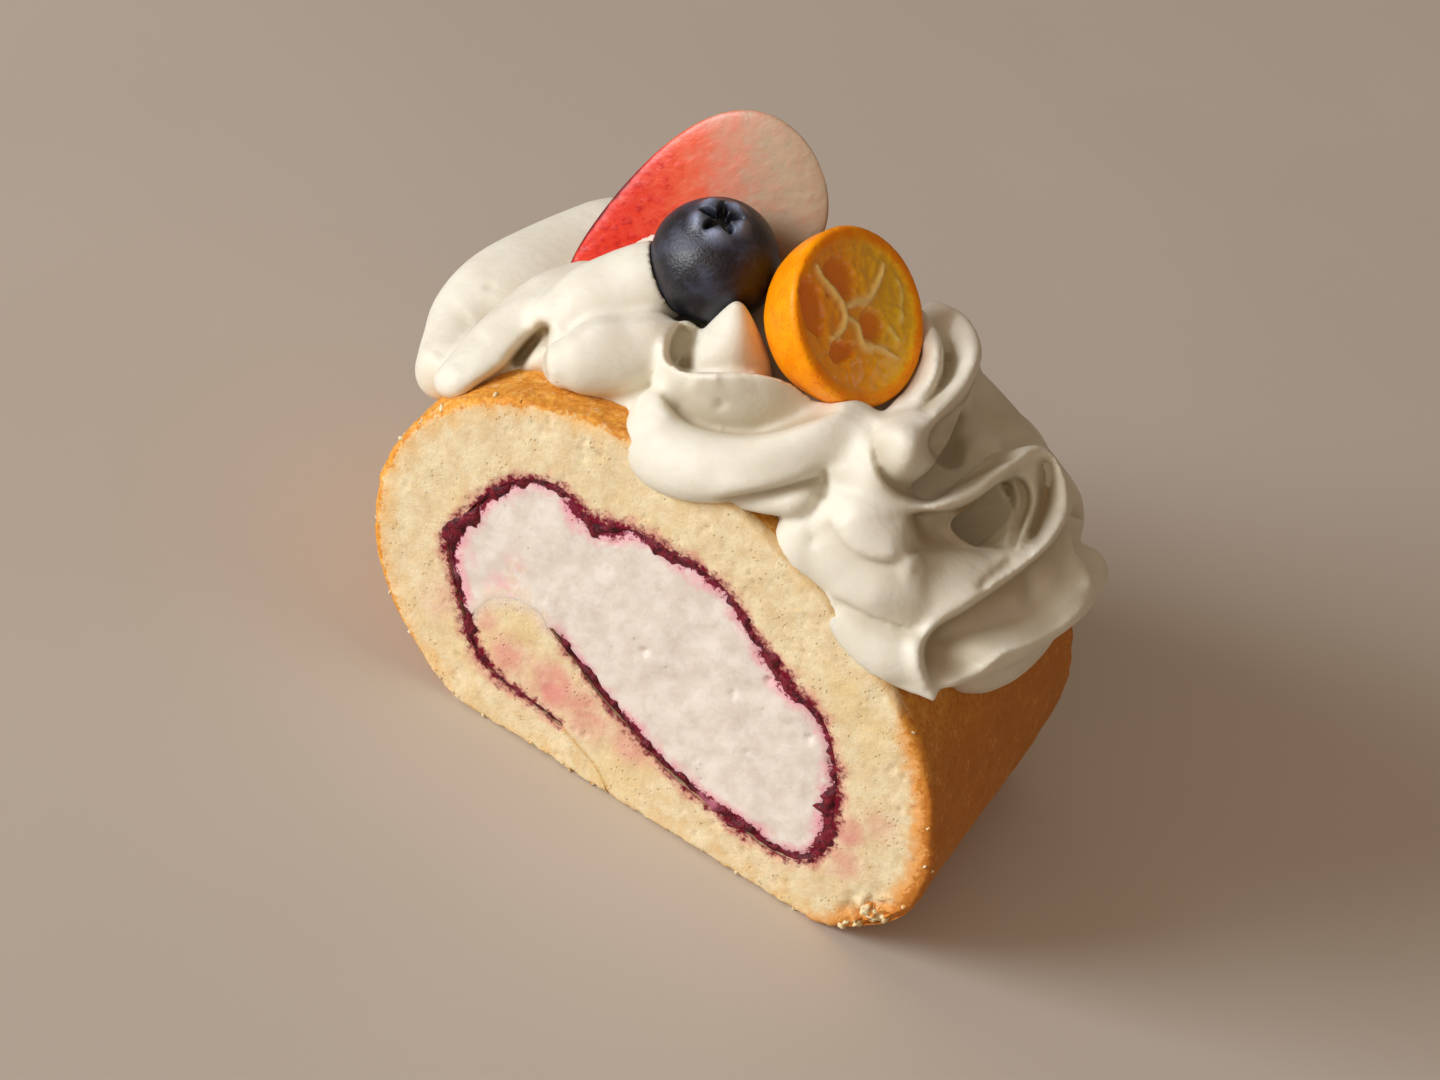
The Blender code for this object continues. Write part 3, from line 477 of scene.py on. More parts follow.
def sponge_finish():
    """Pale open crumb with painted shade in its pores, browned where the rim is near and stained by the jam.
    """
    made = Finish("sponge crumb and crust", Subsurface_Weight=0.2, Subsurface_Radius=(1.0, 0.7, 0.35),
                  Subsurface_Scale=0.0012, Specular_IOR_Level=0.2)
    rim, soak = made.field("rim"), made.field("jam")
    fine, coarse, speck = made.lumps(0.45, 3), made.lumps(2.4, 4, 0.6), made.lumps(0.8, 4, 0.7)
    uneven, grainy = coarse - 0.5, fine - 0.5
    to_right = made.node("ShaderNodeSeparateXYZ", {}, (made.place,))
    open_pores = made.cells(0.7).fading(0.08, 0.3) * made.lumps(2.6).between(0.5, 0.62)
    bits = made.cells(1.3).fading(0.14, 0.34) * made.lumps(1.8, 3).between(0.46, 0.56)
    crumb = made.layers(
        coarse.between(0.35, 0.65), "crumb", "pale crumb",
        fine.between(0.5, 0.7) * 0.35, "toasted grain",
        # Painted shade: the crumb is drawn darker in its open pores
        open_pores * 0.5, "painted pore shade",
        made.lumps(7.0, 1).between(0.55, 0.75) * 0.35, "yellow crumb",
        (rim + uneven * 5).fading(0.4, 3.6) * 0.55, "golden crumb",
        bits * 0.8 * rim.fading(0.3, 2.2), "crust bit",
        (rim + uneven * 4).fading(0.8, 3.0) * to_right.between(22, 33) * 0.75, "glowing rim")
    crust = made.layers(
        made.lumps(0.8, 4, 0.65).between(0.35, 0.65), "crust", "light crust",
        made.lumps(6.5, 3, 0.6).between(0.45, 0.65) * 0.35, "dark crust",
        made.lumps(1.6, 3).between(0.55, 0.7) * 0.55, "pale crust",
        to_right.between(27, 37) * 0.75, "shaded crust")
    browned = (rim + grainy * 2.2 + uneven * 2.6).fading(0.1, 1.0)
    blush = (soak + uneven * 4).fading(-0.2, 1.5)
    pink = (blush * 0.7).largest(made.field("stain") * made.lumps(3.2, 3).between(0.15, 0.6))
    smeared = (made.field("smear") + uneven * 5).fading(-0.2, 2.2)
    seam = (made.field("seam") + grainy * 1.5).fading(0.05, 0.45)
    soaked = (soak + (speck - 0.5) * 4.5 + uneven * 2).fading(-0.6, 0.75)
    colour = crumb
    for share, name in ((pink, "stained crumb"), (smeared * 0.9, "smeared cream"), (seam * 0.6, "seam")):
        colour = made.blend(share, colour, tint(name))
    colour = made.blend(soaked, made.blend(browned, colour, crust), tint("soaked crumb"))
    relief = made.lumps(0.5, 5, 0.65) + open_pores * -0.8 + made.lumps(0.22, 2) * 0.35
    relief = relief * (1 - browned * 0.6)
    return made.paint(Base_Color=colour, Roughness=0.9 - browned * 0.25, Normal=made.bump(relief, 0.12))


def jam_finish():
    """Dark wet jam with fruit in it."""
    made = Finish("wet berry jam", Subsurface_Weight=0.1, Subsurface_Radius=(1.0, 0.12, 0.2),
                  Subsurface_Scale=0.0012, IOR=1.4)
    fine = made.lumps(0.35, 3, 0.6)
    colour = made.layers(
        made.lumps(1.1, 3, 0.6).between(0.38, 0.62), "dark jam", "jam",
        fine.between(0.56, 0.68) * 0.7, "bright jam",
        made.field("clear"), "clear jam")
    relief = made.lumps(0.7, 4, 0.6) + fine * 0.5
    return made.paint(Base_Color=colour, Roughness=0.36 + fine * 0.3, Normal=made.bump(relief, 0.2))


def filling_finish():
    """Cut cream, blushed beside the jam, with a few crumbs dragged across it."""
    made = Finish("cut cream filling", Subsurface_Weight=0.35, Subsurface_Radius=(1.0, 0.8, 0.6),
                  Subsurface_Scale=0.0016, Specular_IOR_Level=0.3)
    soak = made.field("jam")
    cloud, fine, speck = made.lumps(2.6, 4, 0.55), made.lumps(0.5, 3, 0.6), made.lumps(0.5, 4, 0.75)
    uneven, grainy = cloud - 0.5, fine - 0.5
    specks = made.cells(1.7).fading(0.06, 0.17) * made.lumps(3.0).between(0.5, 0.62)
    blush = (soak + uneven * 3.5 + grainy * 1.5).fading(-0.2, 1.9)
    stained = made.field("stain") * made.lumps(1.2, 3).between(0.3, 0.6)
    colour = made.layers(
        cloud.between(0.35, 0.65), "filling", "pale filling",
        specks * 0.4, "filling speck",
        (blush * 0.95).largest(stained), "blushed filling",
        made.field("crumbs") * made.lumps(0.9, 4).between(0.42, 0.58) * 0.8, "dragged crumb",
        (made.field("smear") + uneven * 4 + grainy * 2).fading(-0.2, 1.6) * 0.9, "smeared cream",
        (soak + (speck - 0.5) * 4.5 + uneven * 2).fading(-0.15, 0.2), "soaked filling")
    relief = made.lumps(1.6, 4, 0.55) + fine * 0.35 + specks * -0.4
    return made.paint(Base_Color=colour, Roughness=0.5 + fine * 0.25, Normal=made.bump(relief, 0.12))


def piped_cream_finish():
    """Whipped cream: satin, with fine streaks, yellowish in its folds and darker there as painted shade."""
    made = Finish("piped whipped cream", Subsurface_Weight=0.25, Subsurface_Radius=(1.0, 0.8, 0.5),
                  Subsurface_Scale=0.0012, Specular_IOR_Level=0.35)
    fine = made.lumps(0.7, 4, 0.6)
    specks = made.cells(2.6).fading(0.03, 0.09) * made.lumps(4.0).between(0.55, 0.62)
    colour = made.layers(
        made.lumps(4.5, 3).between(0.35, 0.65), "cream", "pale cream",
        specks * 0.5, "cream speck",
        # Painted shade: the cream is drawn darker and yellower in its creases and hollows
        made.field("crease") * 0.9, "painted crease shade")
    streaks = made.lumps(1.4, 3, 0.55, made.stretched(0.35, 1.0, 0.6))
    relief = streaks * 0.8 + fine * 0.3 + specks * -0.6
    return made.paint(Base_Color=colour, Roughness=0.42 + fine * 0.2, Normal=made.bump(relief, 0.12))


def strawberry_finish():
    """A wet cut face, red towards the tip and the skin, pale and clear towards the stalk."""
    made = Finish("strawberry flesh", Subsurface_Weight=0.3, Subsurface_Radius=(1.0, 0.35, 0.2),
                  Subsurface_Scale=0.0015, IOR=1.36, Coat_Roughness=0.2)
    along = made.field("along")
    grain = made.node("ShaderNodeCombineXYZ", {}, (along * 0.8, made.field("across"), 0.0))
    fibres, cloud = made.lumps(1.1, 4, 0.6, grain), made.lumps(2.2, 4, 0.6)
    ripe = made.field("ripe") + (cloud - 0.5) * 0.5 + (fibres - 0.5) * 0.35
    skin = (made.field("edge") + (cloud - 0.5) * 1.2).fading(0.1, 0.6) * along.fading(9, 19)
    colour = made.layers(
        ripe.between(-0.05, 0.45), "clear flesh", "pink flesh",
        ripe.between(0.3, 0.75), "orange flesh",
        ripe.between(0.65, 1.05), "red flesh",
        (ripe * fibres).between(0.5, 0.68) * 0.8, "deep red flesh",
        skin, "strawberry skin")
    relief = fibres + cloud * 0.6 + made.cells(1.6).fading(0.1, 0.5) * 0.3
    return made.paint(Base_Color=colour, Roughness=0.25 + fibres * 0.25, Normal=made.bump(relief, 0.1),
                      Coat_Weight=0.15 + cloud * 0.15)


def blueberry_finish():
    """Near-black blue skin with a patchy pale bloom, palest on the crown and dimmed on its lower side as
    painted shade.
    """
    made = Finish("blueberry skin", Subsurface_Weight=0.0, IOR=1.55)
    cloud, fine = made.lumps(3.4, 5, 0.62), made.lumps(0.35, 3, 0.6)
    # Painted shade: the bloom fades towards the berry's lower side
    bloom = (cloud.between(0.45, 0.68) * 0.55 + fine * 0.2 - 0.08).largest(0.0) * made.field("upper")
    colour = made.layers(
        bloom, "berry skin", "bloom",
        made.field("crown") * (0.6 + fine * 0.5), "crown bloom",
        made.field("pit"), "pit")
    return made.paint(Base_Color=colour, Roughness=0.36 + bloom * 0.3, Normal=made.bump(fine + cloud, 0.08))


def kumquat_finish():
    """Bright rind with oil pores, clear flesh, dark juicy chambers, pale strands and painted highlight
    streaks.
    """
    made = Finish("kumquat rind and flesh", Subsurface_Weight=0.25, Subsurface_Radius=(1.0, 0.4, 0.05),
                  Subsurface_Scale=0.002, IOR=1.36, Specular_IOR_Level=0.3, Coat_Roughness=0.1)
    fine = made.lumps(0.5, 4, 0.6)
    pores = made.cells(0.85).fading(0.05, 0.32)
    rind = made.layers(
        made.lumps(2.4, 4, 0.6).between(0.35, 0.65), "rind", "bright rind",
        pores * 0.3, "rind pore")
    flesh = made.layers(
        made.field("right"), "shaded flesh", "lit flesh",
        fine.between(0.42, 0.65) * 0.45, "grainy flesh",
        # Painted highlight: pale streaks on the flesh
        made.field("streak"), "painted highlight streak",
        made.field("chamber") * 0.85, "chamber",
        made.field("strand"), "strand")
    on_face = (made.field("ring") + (fine - 0.5) * 1.5).fading(8.4, 9.3)
    relief = made.blend(on_face, pores * -0.5 + 0.5, made.lumps(0.9, 4, 0.6))
    return made.paint(Base_Color=made.blend(on_face, rind, flesh), Normal=made.bump(relief, 0.12),
                      Roughness=0.36 - on_face * 0.14 + fine * 0.12, Coat_Weight=on_face * 0.7 + 0.05)


def crumb_finish():
    """Loose crumbs of the sponge, some with crust on them."""
    made = Finish("loose crumbs", Subsurface_Weight=0.15, Subsurface_Radius=(1.0, 0.7, 0.35),
                  Subsurface_Scale=0.0008)
    colour = made.layers(made.lumps(0.9, 2).between(0.54, 0.6), "loose crumb", "crusty crumb")
    return made.paint(Base_Color=colour, Roughness=0.8 + made.lumps(0.3) * 0.15,
                      Normal=made.bump(made.lumps(0.3, 4), 0.12))


def floor_finish():
    """A plain pale table top."""
    made = Finish("plain pale table")
    colour = made.layers(made.lumps(90.0, 2).between(0.3, 0.7), "table", "pale table")
    return made.paint(Base_Color=colour, Roughness=0.75 + made.lumps(2.0) * 0.1)


def smooth_path(knots, steps, leads=None):
    """Points on a smooth curve through the knots, with steps points to a span."""
    knots = [Vector(k) for k in knots]
    before = Vector(leads[0]) if leads else 2 * knots[0] - knots[1]
    after = Vector(leads[1]) if leads else 2 * knots[-1] - knots[-2]
    run = [before, *knots, after]
    points = []
    for a, b, c, d in zip(run, run[1:], run[2:], run[3:]):
        for step in range(steps):
            t = step / steps
            points.append(0.5 * (2 * b + (c - a) * t + (2 * a - 5 * b + 4 * c - d) * t ** 2
                                 + (3 * b - a - 3 * c + d) * t ** 3))
    return points + [knots[-1]]


def left_of(points):
    """The direction to the left of a path at each of its points."""
    lefts = []
    for i in range(len(points)):
        along = points[min(i + 1, len(points) - 1)].xy - points[max(i - 1, 0)].xy
        lefts.append(Vector((-along.y, along.x)).normalized())
    return lefts


def offset_path(points, distances):
    """The path moved to its left by a distance of its own at each point."""
    return [p.xy + left * d for p, left, d in zip(points, left_of(points), distances)]


def evenly(outline, pitch):
    """Points at an even pitch round a closed outline."""
    corners = np.array([tuple(p.xy) for p in [*outline, outline[0]]])
    run = np.concatenate(([0], np.cumsum(np.linalg.norm(np.diff(corners, axis=0), axis=1))))
    places = np.linspace(0, run[-1], int(run[-1] / pitch), endpoint=False)
    return np.stack([np.interp(places, run, corners[:, k]) for k in range(2)], 1)


def waves(points, size, octaves=2, seed=0.0):
    """Smooth noise of about -1 to 1 at each point, with lumps of a size."""
    shift = Vector((seed, seed * 1.7, seed * 2.9))
    return np.array([noise.fractal(Vector(p) / size + shift, 1.0, 2.0, octaves) for p in points])


def pits(points, size, seed=0.0):
    """The distance from each point to the nearest of scattered middles, in shares of their spacing."""
    shift = Vector((seed, seed * 1.7, seed * 2.9))
    return np.array([noise.voronoi(Vector(p) / size + shift)[0][0] for p in points])


def fade(values, low, high):
    """0 below low and 1 above high, smoothly."""
    share = np.clip((values - low) / (high - low), 0, 1)
    return share * share * (3 - 2 * share)


class Nearest:
    """Finds the nearest point of a path."""

    def __init__(self, path, spacing=0.1):
        self.spots = []
        for i, (one, two) in enumerate(zip(path, path[1:])):
            one, two = Vector(one), Vector(two)
            steps = max(1, int((two - one).length / spacing))
            self.spots += [(one.lerp(two, s / steps), i + s / steps) for s in range(steps)]
        self.tree = kdtree.KDTree(len(self.spots))
        for i, (spot, _) in enumerate(self.spots):
            self.tree.insert((spot.x, spot.y, 0), i)
        self.tree.balance()

    def look(self, points):
        """The distance to the path, and how far along it in knots, for each point in X and Z."""
        found = [self.tree.find((p[0], p[1], 0)) for p in points]
        return np.array([f[2] for f in found]), np.array([self.spots[f[1]][1] for f in found])


def distance_to(path, points):
    """How far each point lies from a path."""
    return Nearest([tuple(p) for p in path]).look(points)[0]


def inside(points, outline):
    """Which points lie inside a closed outline."""
    after = np.roll(outline, -1, axis=0)
    rise = after[:, 1] - outline[:, 1]
    rise[rise == 0] = 1e-9
    result = []
    for chunk in np.array_split(points, max(1, len(points) // 2000)):
        x, z = chunk[:, :1], chunk[:, 1:]
        crosses = (outline[:, 1] > z) != (after[:, 1] > z)
        at = outline[:, 0] + (z - outline[:, 1]) * (after[:, 0] - outline[:, 0]) / rise
        result.append((crosses & (x < at)).sum(axis=1) % 2 == 1)
    return np.concatenate(result)


def flat_triangles(outline, pitch, seed):
    """A closed outline filled with fine even triangles: its corners, outline first, and its faces."""
    low, high = outline.min(0), outline.max(0)
    rise = pitch * TRIANGLE_HEIGHT
    xs, zs = np.meshgrid(np.arange(low[0], high[0], pitch), np.arange(low[1], high[1], rise))
    xs[1::2] += pitch / 2
    spots = np.stack([xs.ravel(), zs.ravel()], 1)
    spots += np.random.default_rng(seed).uniform(-CORNER_JITTER, CORNER_JITTER, spots.shape) * pitch
    spots = spots[inside(spots, outline)]
    closed = [tuple(p) for p in [*outline, outline[0]]]
    spots = spots[Nearest(closed, pitch / 3).look(spots)[0] > RIM_CLEARANCE * pitch]
    corners = [Vector(p) for p in [*outline, *spots]]
    count = len(outline)
    edges = [(i, (i + 1) % count) for i in range(count)]
    places, _, faces, origins, _, _ = geometry.delaunay_2d_cdt(corners, edges, [], 1, 1e-7)
    back = {new: olds[-1] for new, olds in enumerate(origins) if olds}
    flat = np.array([tuple(p) for p in corners])
    return flat, [tuple(back[i] for i in face) for face in faces if len(face) == 3]


def ring_faces(one, two, count, turned=False):
    """The faces between two rings of corners, given by their first corners, or the same faces turned."""
    pairs = [(k, (k + 1) % count) for k in range(count)]
    if turned:
        return [(one + k, two + k, two + m, one + m) for k, m in pairs]
    return [(one + k, one + m, two + m, two + k) for k, m in pairs]


def slab(outline, depth, pitch, rows, seed):
    """A closed outline carried along Y: the outline, corners, faces, and for each corner its end (-1, 0
    or 1) and its place in the outline (or -1)."""
    outline = evenly(outline, pitch)
    count = len(outline)
    flat, triangles = flat_triangles(outline, pitch, seed)
    corners, ends, rims = [], [], []
    for end in (-1, 1):
        corners.append(np.stack([flat[:, 0], np.full(len(flat), end * depth / 2), flat[:, 1]], 1))
        ends.append(np.full(len(flat), end))
        rims.append(np.where(np.arange(len(flat)) < count, np.arange(len(flat)), -1))
    for y in rows:
        corners.append(np.stack([outline[:, 0], np.full(count, y), outline[:, 1]], 1))
        ends.append(np.zeros(count, int))
        rims.append(np.arange(count))
    faces = triangles + [tuple(i + len(flat) for i in reversed(face)) for face in triangles]
    starts = [0, *(2 * len(flat) + count * k for k in range(len(rows))), len(flat)]
    for one, two in zip(starts, starts[1:]):
        faces += ring_faces(one, two, count)
    return outline, np.concatenate(corners), faces, np.concatenate(ends), np.concatenate(rims)


def outward(outline):
    """The direction out of a closed outline at each of its points."""
    along = np.roll(outline, -1, axis=0) - np.roll(outline, 1, axis=0)
    along /= np.linalg.norm(along, axis=1)[:, None] + 1e-12
    x, z = outline[:, 0], outline[:, 1]
    area = (x * np.roll(z, -1) - np.roll(x, -1) * z).sum()
    return np.stack([along[:, 1], -along[:, 0]], 1) * (1 if area > 0 else -1)


def piece(name, corners, faces, finish, fields=None, smooth=True, cut=False):
    """A mesh object from corners in millimetres, facing outwards, with values kept at its corners. A cut
    piece keeps its sharp edges."""
    data = bpy.data.meshes.new(name)
    data.from_pydata([tuple(c) for c in np.asarray(corners) * MM], [], faces)
    shape = bmesh.new()
    shape.from_mesh(data)
    bmesh.ops.recalc_face_normals(shape, faces=shape.faces)
    shape.to_mesh(data)
    shape.free()
    for field, values in (fields or {}).items():
        kept = data.attributes.new(field, "FLOAT", "POINT")
        kept.data.foreach_set("value", np.asarray(values, np.float32))
    if smooth:
        data.shade_smooth()
    if cut:
        data.set_sharp_from_angle(angle=math.radians(SHARP_ANGLE))
    data.materials.append(finish)
    made = bpy.data.objects.new(name, data)
    bpy.context.scene.collection.objects.link(made)
    return made


def belongs(made, slot, *nodes):
    """The piece stands for its nodes, which are hidden, and rides on the one body; the slot is not used."""
    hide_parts(*nodes)
    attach(made, "root")


def turn_line():
    """The line between the turns of the sheet, half the jam along it, and where the jam starts."""
    seam = smooth_path(SEAM_KNOTS + (JAM_KNOTS[0][:2],), PATH_STEPS)[:-1]
    jam = smooth_path(JAM_KNOTS, PATH_STEPS)
    half = [0.0] * len(seam) + [p.z for p in jam]
    return [Vector(p.xy) for p in seam + jam], half, len(seam)


def sheet_end(inner, start):
    """The rounded inner end of the sheet, and where it leaves the inner side of the jam."""
    foot = min(range(len(inner)), key=lambda i: (inner[i] - Vector(TAIL_FOOT)).length)
    tail = [Vector(k) for k in TAIL_KNOTS]
    return smooth_path([start, *tail, inner[foot]], PATH_STEPS), foot


def patches(flat, spots):
    """How strongly each point lies in any of some round patches."""
    total = np.zeros(len(flat))
    for x, z, radius, strength in spots:
        away = np.hypot(flat[:, 0] - x, flat[:, 1] - z)
        total = np.maximum(total, strength * (1 - fade(away, radius * 0.25, radius)))
    return total


def soak_field(flat, jam_path):
    """How far each point lies from the edge of the jam, in millimetres."""
    distance, knot = jam_path.look(flat)
    half = np.array([k[2] for k in JAM_KNOTS])
    return distance + 0.15 - np.interp(knot / PATH_STEPS, np.arange(len(half)), half) * 0.9


def sheet_outline(line, start):
    """The outline of the sheet of sponge, the skin's part of it, and the rounded inner end."""
    gaps = [SEAM_GAP if i < start else JAM_GAP for i in range(len(line))]
    inner = offset_path(line, [-gap for gap in gaps])
    outer = offset_path(line, gaps)
    inner[0] = Vector((line[0].x + SEAM_FOOT, 0))
    outer[0] = Vector((line[0].x - SEAM_FOOT, 0))
    end, foot = sheet_end(inner, outer[-1])
    skin = smooth_path(OUTLINE_KNOTS, PATH_STEPS, OUTLINE_LEADS)
    return skin + inner[:foot] + end[::-1] + outer[:-1][::-1], skin, end


def sponge_rows():
    """Where the rows of corners round the sponge lie along Y, closest near the cut faces."""
    reach = ROLL_DEPTH / 2 - SPONGE_SETBACK
    middle = reach - SPONGE_EDGE_ROWS[-1] - SPONGE_ROW_GAP
    near = [-reach + edge for edge in SPONGE_EDGE_ROWS]
    return [*near, *np.linspace(-middle, middle, SPONGE_ROWS), *(-y for y in reversed(near))]


def face_level(corners):
    """The gentle unevenness of the cut faces."""
    return 0.22 * waves(corners, 9.0) + 0.09 * waves(corners, 2.4, 3, seed=2.0)


def crumb_relief(corners, cut, skin_away, soak, broken, off_base):
    """How far the rim of each cut face rolls over, and how far its crumb stands out."""
    rounding = 0.2 + 0.8 * off_base * (1.0 + 0.35 * waves(corners, 5.0, seed=4.0))
    away = np.clip(rounding - skin_away, 0, rounding)
    drop = np.where(cut, rounding - np.sqrt(np.maximum(rounding ** 2 - away ** 2, 0)), 0)
    crumb = face_level(corners) + 0.05 * waves(corners, 0.9, seed=5.0)
    holes = 1 - fade(pits(corners, 1.4, seed=1.0), 0.1, 0.34)
    holes *= fade(waves(corners, 3.0, seed=8.0), 0.1, 0.35)
    crumb -= 0.32 * holes + 0.9 * broken * (0.5 + waves(corners, 1.5, 3, seed=6.0))
    crumb -= 0.12 * (1 - fade(np.abs(soak), 0.1, 0.9))
    rough_rim = (1 - fade(skin_away, 0.0, 1.3)) * cut
    crumb -= rough_rim * 0.2 * np.abs(waves(corners, 0.9, 3, seed=7.0))
    return drop, crumb


def skin_relief(corners, directions, skin_away, broken, off_base):
    """How far the skin moves in X and Z: wrinkled, torn at the cut faces, and dying out inwards."""
    share = np.where(skin_away < SKIN_REACH, 1 - skin_away / SKIN_REACH, 0)
    lift = 0.32 * waves(corners, 11.0, seed=9.0) + 0.16 * waves(corners, 2.2, 3, seed=3.0) - 0.3
    at_face = 1 - fade(ROLL_DEPTH / 2 - np.abs(corners[:, 1]), 0.2, 2.2)
    lift -= at_face * (0.3 * np.abs(waves(corners, 1.1, 3, seed=12.0)) + 0.7 * broken)
    return directions * (lift * share * np.maximum(0.15 + 0.85 * off_base, at_face * 0.7))[:, None]


def sponge(finish, jam_path):
    """The sheet of sponge with its open crumb, soft cut edges and browned skin."""
    line, _, start = turn_line()
    sheet, skin_line, end = sheet_outline(line, start)
    outline, corners, faces, ends, rims = slab(sheet, ROLL_DEPTH, CUT_PITCH, sponge_rows(), seed=3)
    flat = corners[:, [0, 2]]
    cut = ends != 0
    skin_line = np.array([tuple(p.xy) for p in skin_line])
    skin_path = Nearest([*skin_line, skin_line[0]])
    skin_away, skin_knot = skin_path.look(flat)
    soak = soak_field(flat, jam_path)
    off_base = fade(corners[:, 2], 0.5, 4.0)
    x, z, size = BROKEN_CORNER
    broken = (1 - fade(np.hypot(flat[:, 0] - x, flat[:, 1] - z), size * 0.4, size)) * cut
    drop, crumb = crumb_relief(corners, cut, skin_away, soak, broken, off_base)
    corners[:, 1] -= ends * drop
    corners[:, 1] += np.where(cut, ends * (crumb - 0.3), 0)
    # Corners on the outline move along its own direction, and those just inside it along the skin's
    known = rims >= 0
    near = cut & ~known & (skin_away < SKIN_REACH)
    directions = np.zeros((len(corners), 2))
    directions[known] = outward(outline)[rims[known]]
    skin_out = outward(skin_line)
    directions[near] = skin_out[np.minimum(skin_knot[near].astype(int), len(skin_out) - 1)]
    corners[:, [0, 2]] += skin_relief(corners, directions, skin_away, broken, off_base)
    low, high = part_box("sponge")
    corners = np.clip(corners, np.array(low) / MM, np.array(high) / MM)
    browner = 1.1 * fade(corners[:, 0], 24, 35) + 0.5 * fade(-corners[:, 0], 20, 34) - 1.8 * (1 - off_base)
    under_cream = fade(corners[:, 0], -3, 0) * fade(29 - corners[:, 0], 0, 3) * fade(flat[:, 1], 20, 26)
    behind_face = corners[:, 1] + ROLL_DEPTH / 2
    skin_rim = 3.0 * under_cream * (1 - fade(behind_face, 0.8, 2.4))
    near_base = 0.4 + 0.6 * (1 - fade(corners[:, 2], 2.0, 7.0))
    loose = broken * fade(waves(corners, 2.2, seed=13.0), -0.15, 0.35)
    fields = {
        "rim": np.where((ends == 0) & (skin_away < 0.1), skin_rim,
                        np.maximum(skin_away - browner, 0.02) + 1.5 * under_cream),
        "seam": np.where(cut, distance_to(line[:start], flat), FAR),
        "jam": np.where(cut, soak, 3.0),
        "stain": patches(flat, JAM_STAINS) * cut,
        "smear": np.where(cut, distance_to(end, flat), FAR),
        "loose": cut * np.maximum((1 - fade(skin_away, 0.4, 1.8)) * 0.3 * near_base, loose),
    }
    made = piece("sponge_sheet", corners, faces, finish, fields, cut=True)
    belongs(made, "sponge crumb", "sponge")
    return made


def crumb_tree(finish):
    """Nodes that scatter lumpy crumbs over a surface where its loose field is high."""
    tree = bpy.data.node_groups.new("clinging crumbs", "GeometryNodeTree")
    sockets = {"Surface": "Geometry", "Spacing": "Float", "Most": "Float", "Radius": "Float", "Seed": "Int"}
    for name, kind in sockets.items():
        tree.interface.new_socket(name, in_out="INPUT", socket_type="NodeSocket" + kind)
    tree.interface.new_socket("Crumbs", in_out="OUTPUT", socket_type="NodeSocketGeometry")

    def node(kind, values, **settings):
        return add_node(tree, kind, settings, values)

    given = node("NodeGroupInput", {})
    loose = node("GeometryNodeInputNamedAttribute", {"Name": "loose"}, data_type="FLOAT")["Attribute"]
    scattered = {"Mesh": given["Surface"], "Distance Min": given["Spacing"], "Density Max": given["Most"],
                 "Density Factor": loose, "Seed": given["Seed"]}
    points = node("GeometryNodeDistributePointsOnFaces", scattered, distribute_method="POISSON")
    ball = node("GeometryNodeMeshUVSphere", {"Segments": 8, "Rings": 5, "Radius": given["Radius"]})
    turns = {"Max": (math.tau, math.tau, math.tau), "Seed": 1}
    turn = node("FunctionNodeRandomValue", turns, data_type="FLOAT_VECTOR")
    sizes = {"Min": CRUMB_SHAPES[0], "Max": CRUMB_SHAPES[1], "Seed": 2}
    size = node("FunctionNodeRandomValue", sizes, data_type="FLOAT_VECTOR")
    bigger = node("ShaderNodeMath", {0: loose, 1: 0.6}, operation="ADD")
    scale = node("ShaderNodeVectorMath", {0: size["Value"], "Scale": bigger["Value"]}, operation="SCALE")
    strewn = node("GeometryNodeInstanceOnPoints", {"Points": points["Points"], "Instance": ball["Mesh"],
                                                   "Rotation": turn["Value"], "Scale": scale["Vector"]})
    whole = node("GeometryNodeRealizeInstances", {"Geometry": strewn["Instances"]})
    lumps = node("ShaderNodeTexNoise", {"Scale": 1 / (CRUMB_LUMPS * MM), "Detail": 2.0})
    middle = node("ShaderNodeVectorMath", {0: lumps["Color"], 1: (0.5, 0.5, 0.5)}, operation="SUBTRACT")
    ragged = {0: middle["Vector"], "Scale": CRUMB_RAGGEDNESS * MM}
    shift = node("ShaderNodeVectorMath", ragged, operation="SCALE")
    uneven = node("GeometryNodeSetPosition", {"Geometry": whole["Geometry"], "Offset": shift["Vector"]})
    coloured = node("GeometryNodeSetMaterial", {"Geometry": uneven["Geometry"], "Material": finish})
    node("NodeGroupOutput", {"Crumbs": coloured["Geometry"]})
    return tree


def clinging_crumbs(finish, sheet):
    """Crumbs on the rim and the broken corner of the sponge's cut faces."""
    made = bpy.data.objects.new("clinging_crumbs", sheet.data)
    bpy.context.scene.collection.objects.link(made)
    modifier = made.modifiers.new("crumbs", "NODES")
    modifier.node_group = crumb_tree(finish)
    sizes = {"Spacing": CRUMB_SPACING * MM, "Most": CRUMB_DENSITY / MM ** 2, "Radius": CRUMB_RADIUS * MM,
             "Seed": 4}
    for socket in modifier.node_group.interface.items_tree:
        if socket.name in sizes:
            modifier[socket.identifier] = sizes[socket.name]
    applied(made)
    corners, _ = corners_of(made)
    corners[:, 1] -= CRUMB_SINK * np.sign(corners[:, 1])
    low, high = (np.array(corner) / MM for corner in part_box("sponge"))
    corners = np.clip(corners, low - (0, 1, 0), high + (0, 1, 0))
    made.data.vertices.foreach_set("co", (corners * MM).ravel())
    made.data.shade_smooth()
    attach(made, "root")


def ragged_strip(run, half):
    """The outline of a strip along a path, with its edges torn unevenly."""
    sides = []
    for sign in (1, -1):
        points = np.array([(p.x, sign * 50.0, p.y) for p in run])
        tear = JAM_TEAR * (1.3 * waves(points, 3.4, seed=2.0) + 0.8 * waves(points, 1.2, 3, seed=7.0))
        reach = [max(0.12, 0.85 * h - 0.05 + t) for h, t in zip(half, tear)]
        sides.append(offset_path(run, [sign * r for r in reach]))
    return sides[0] + sides[1][::-1]


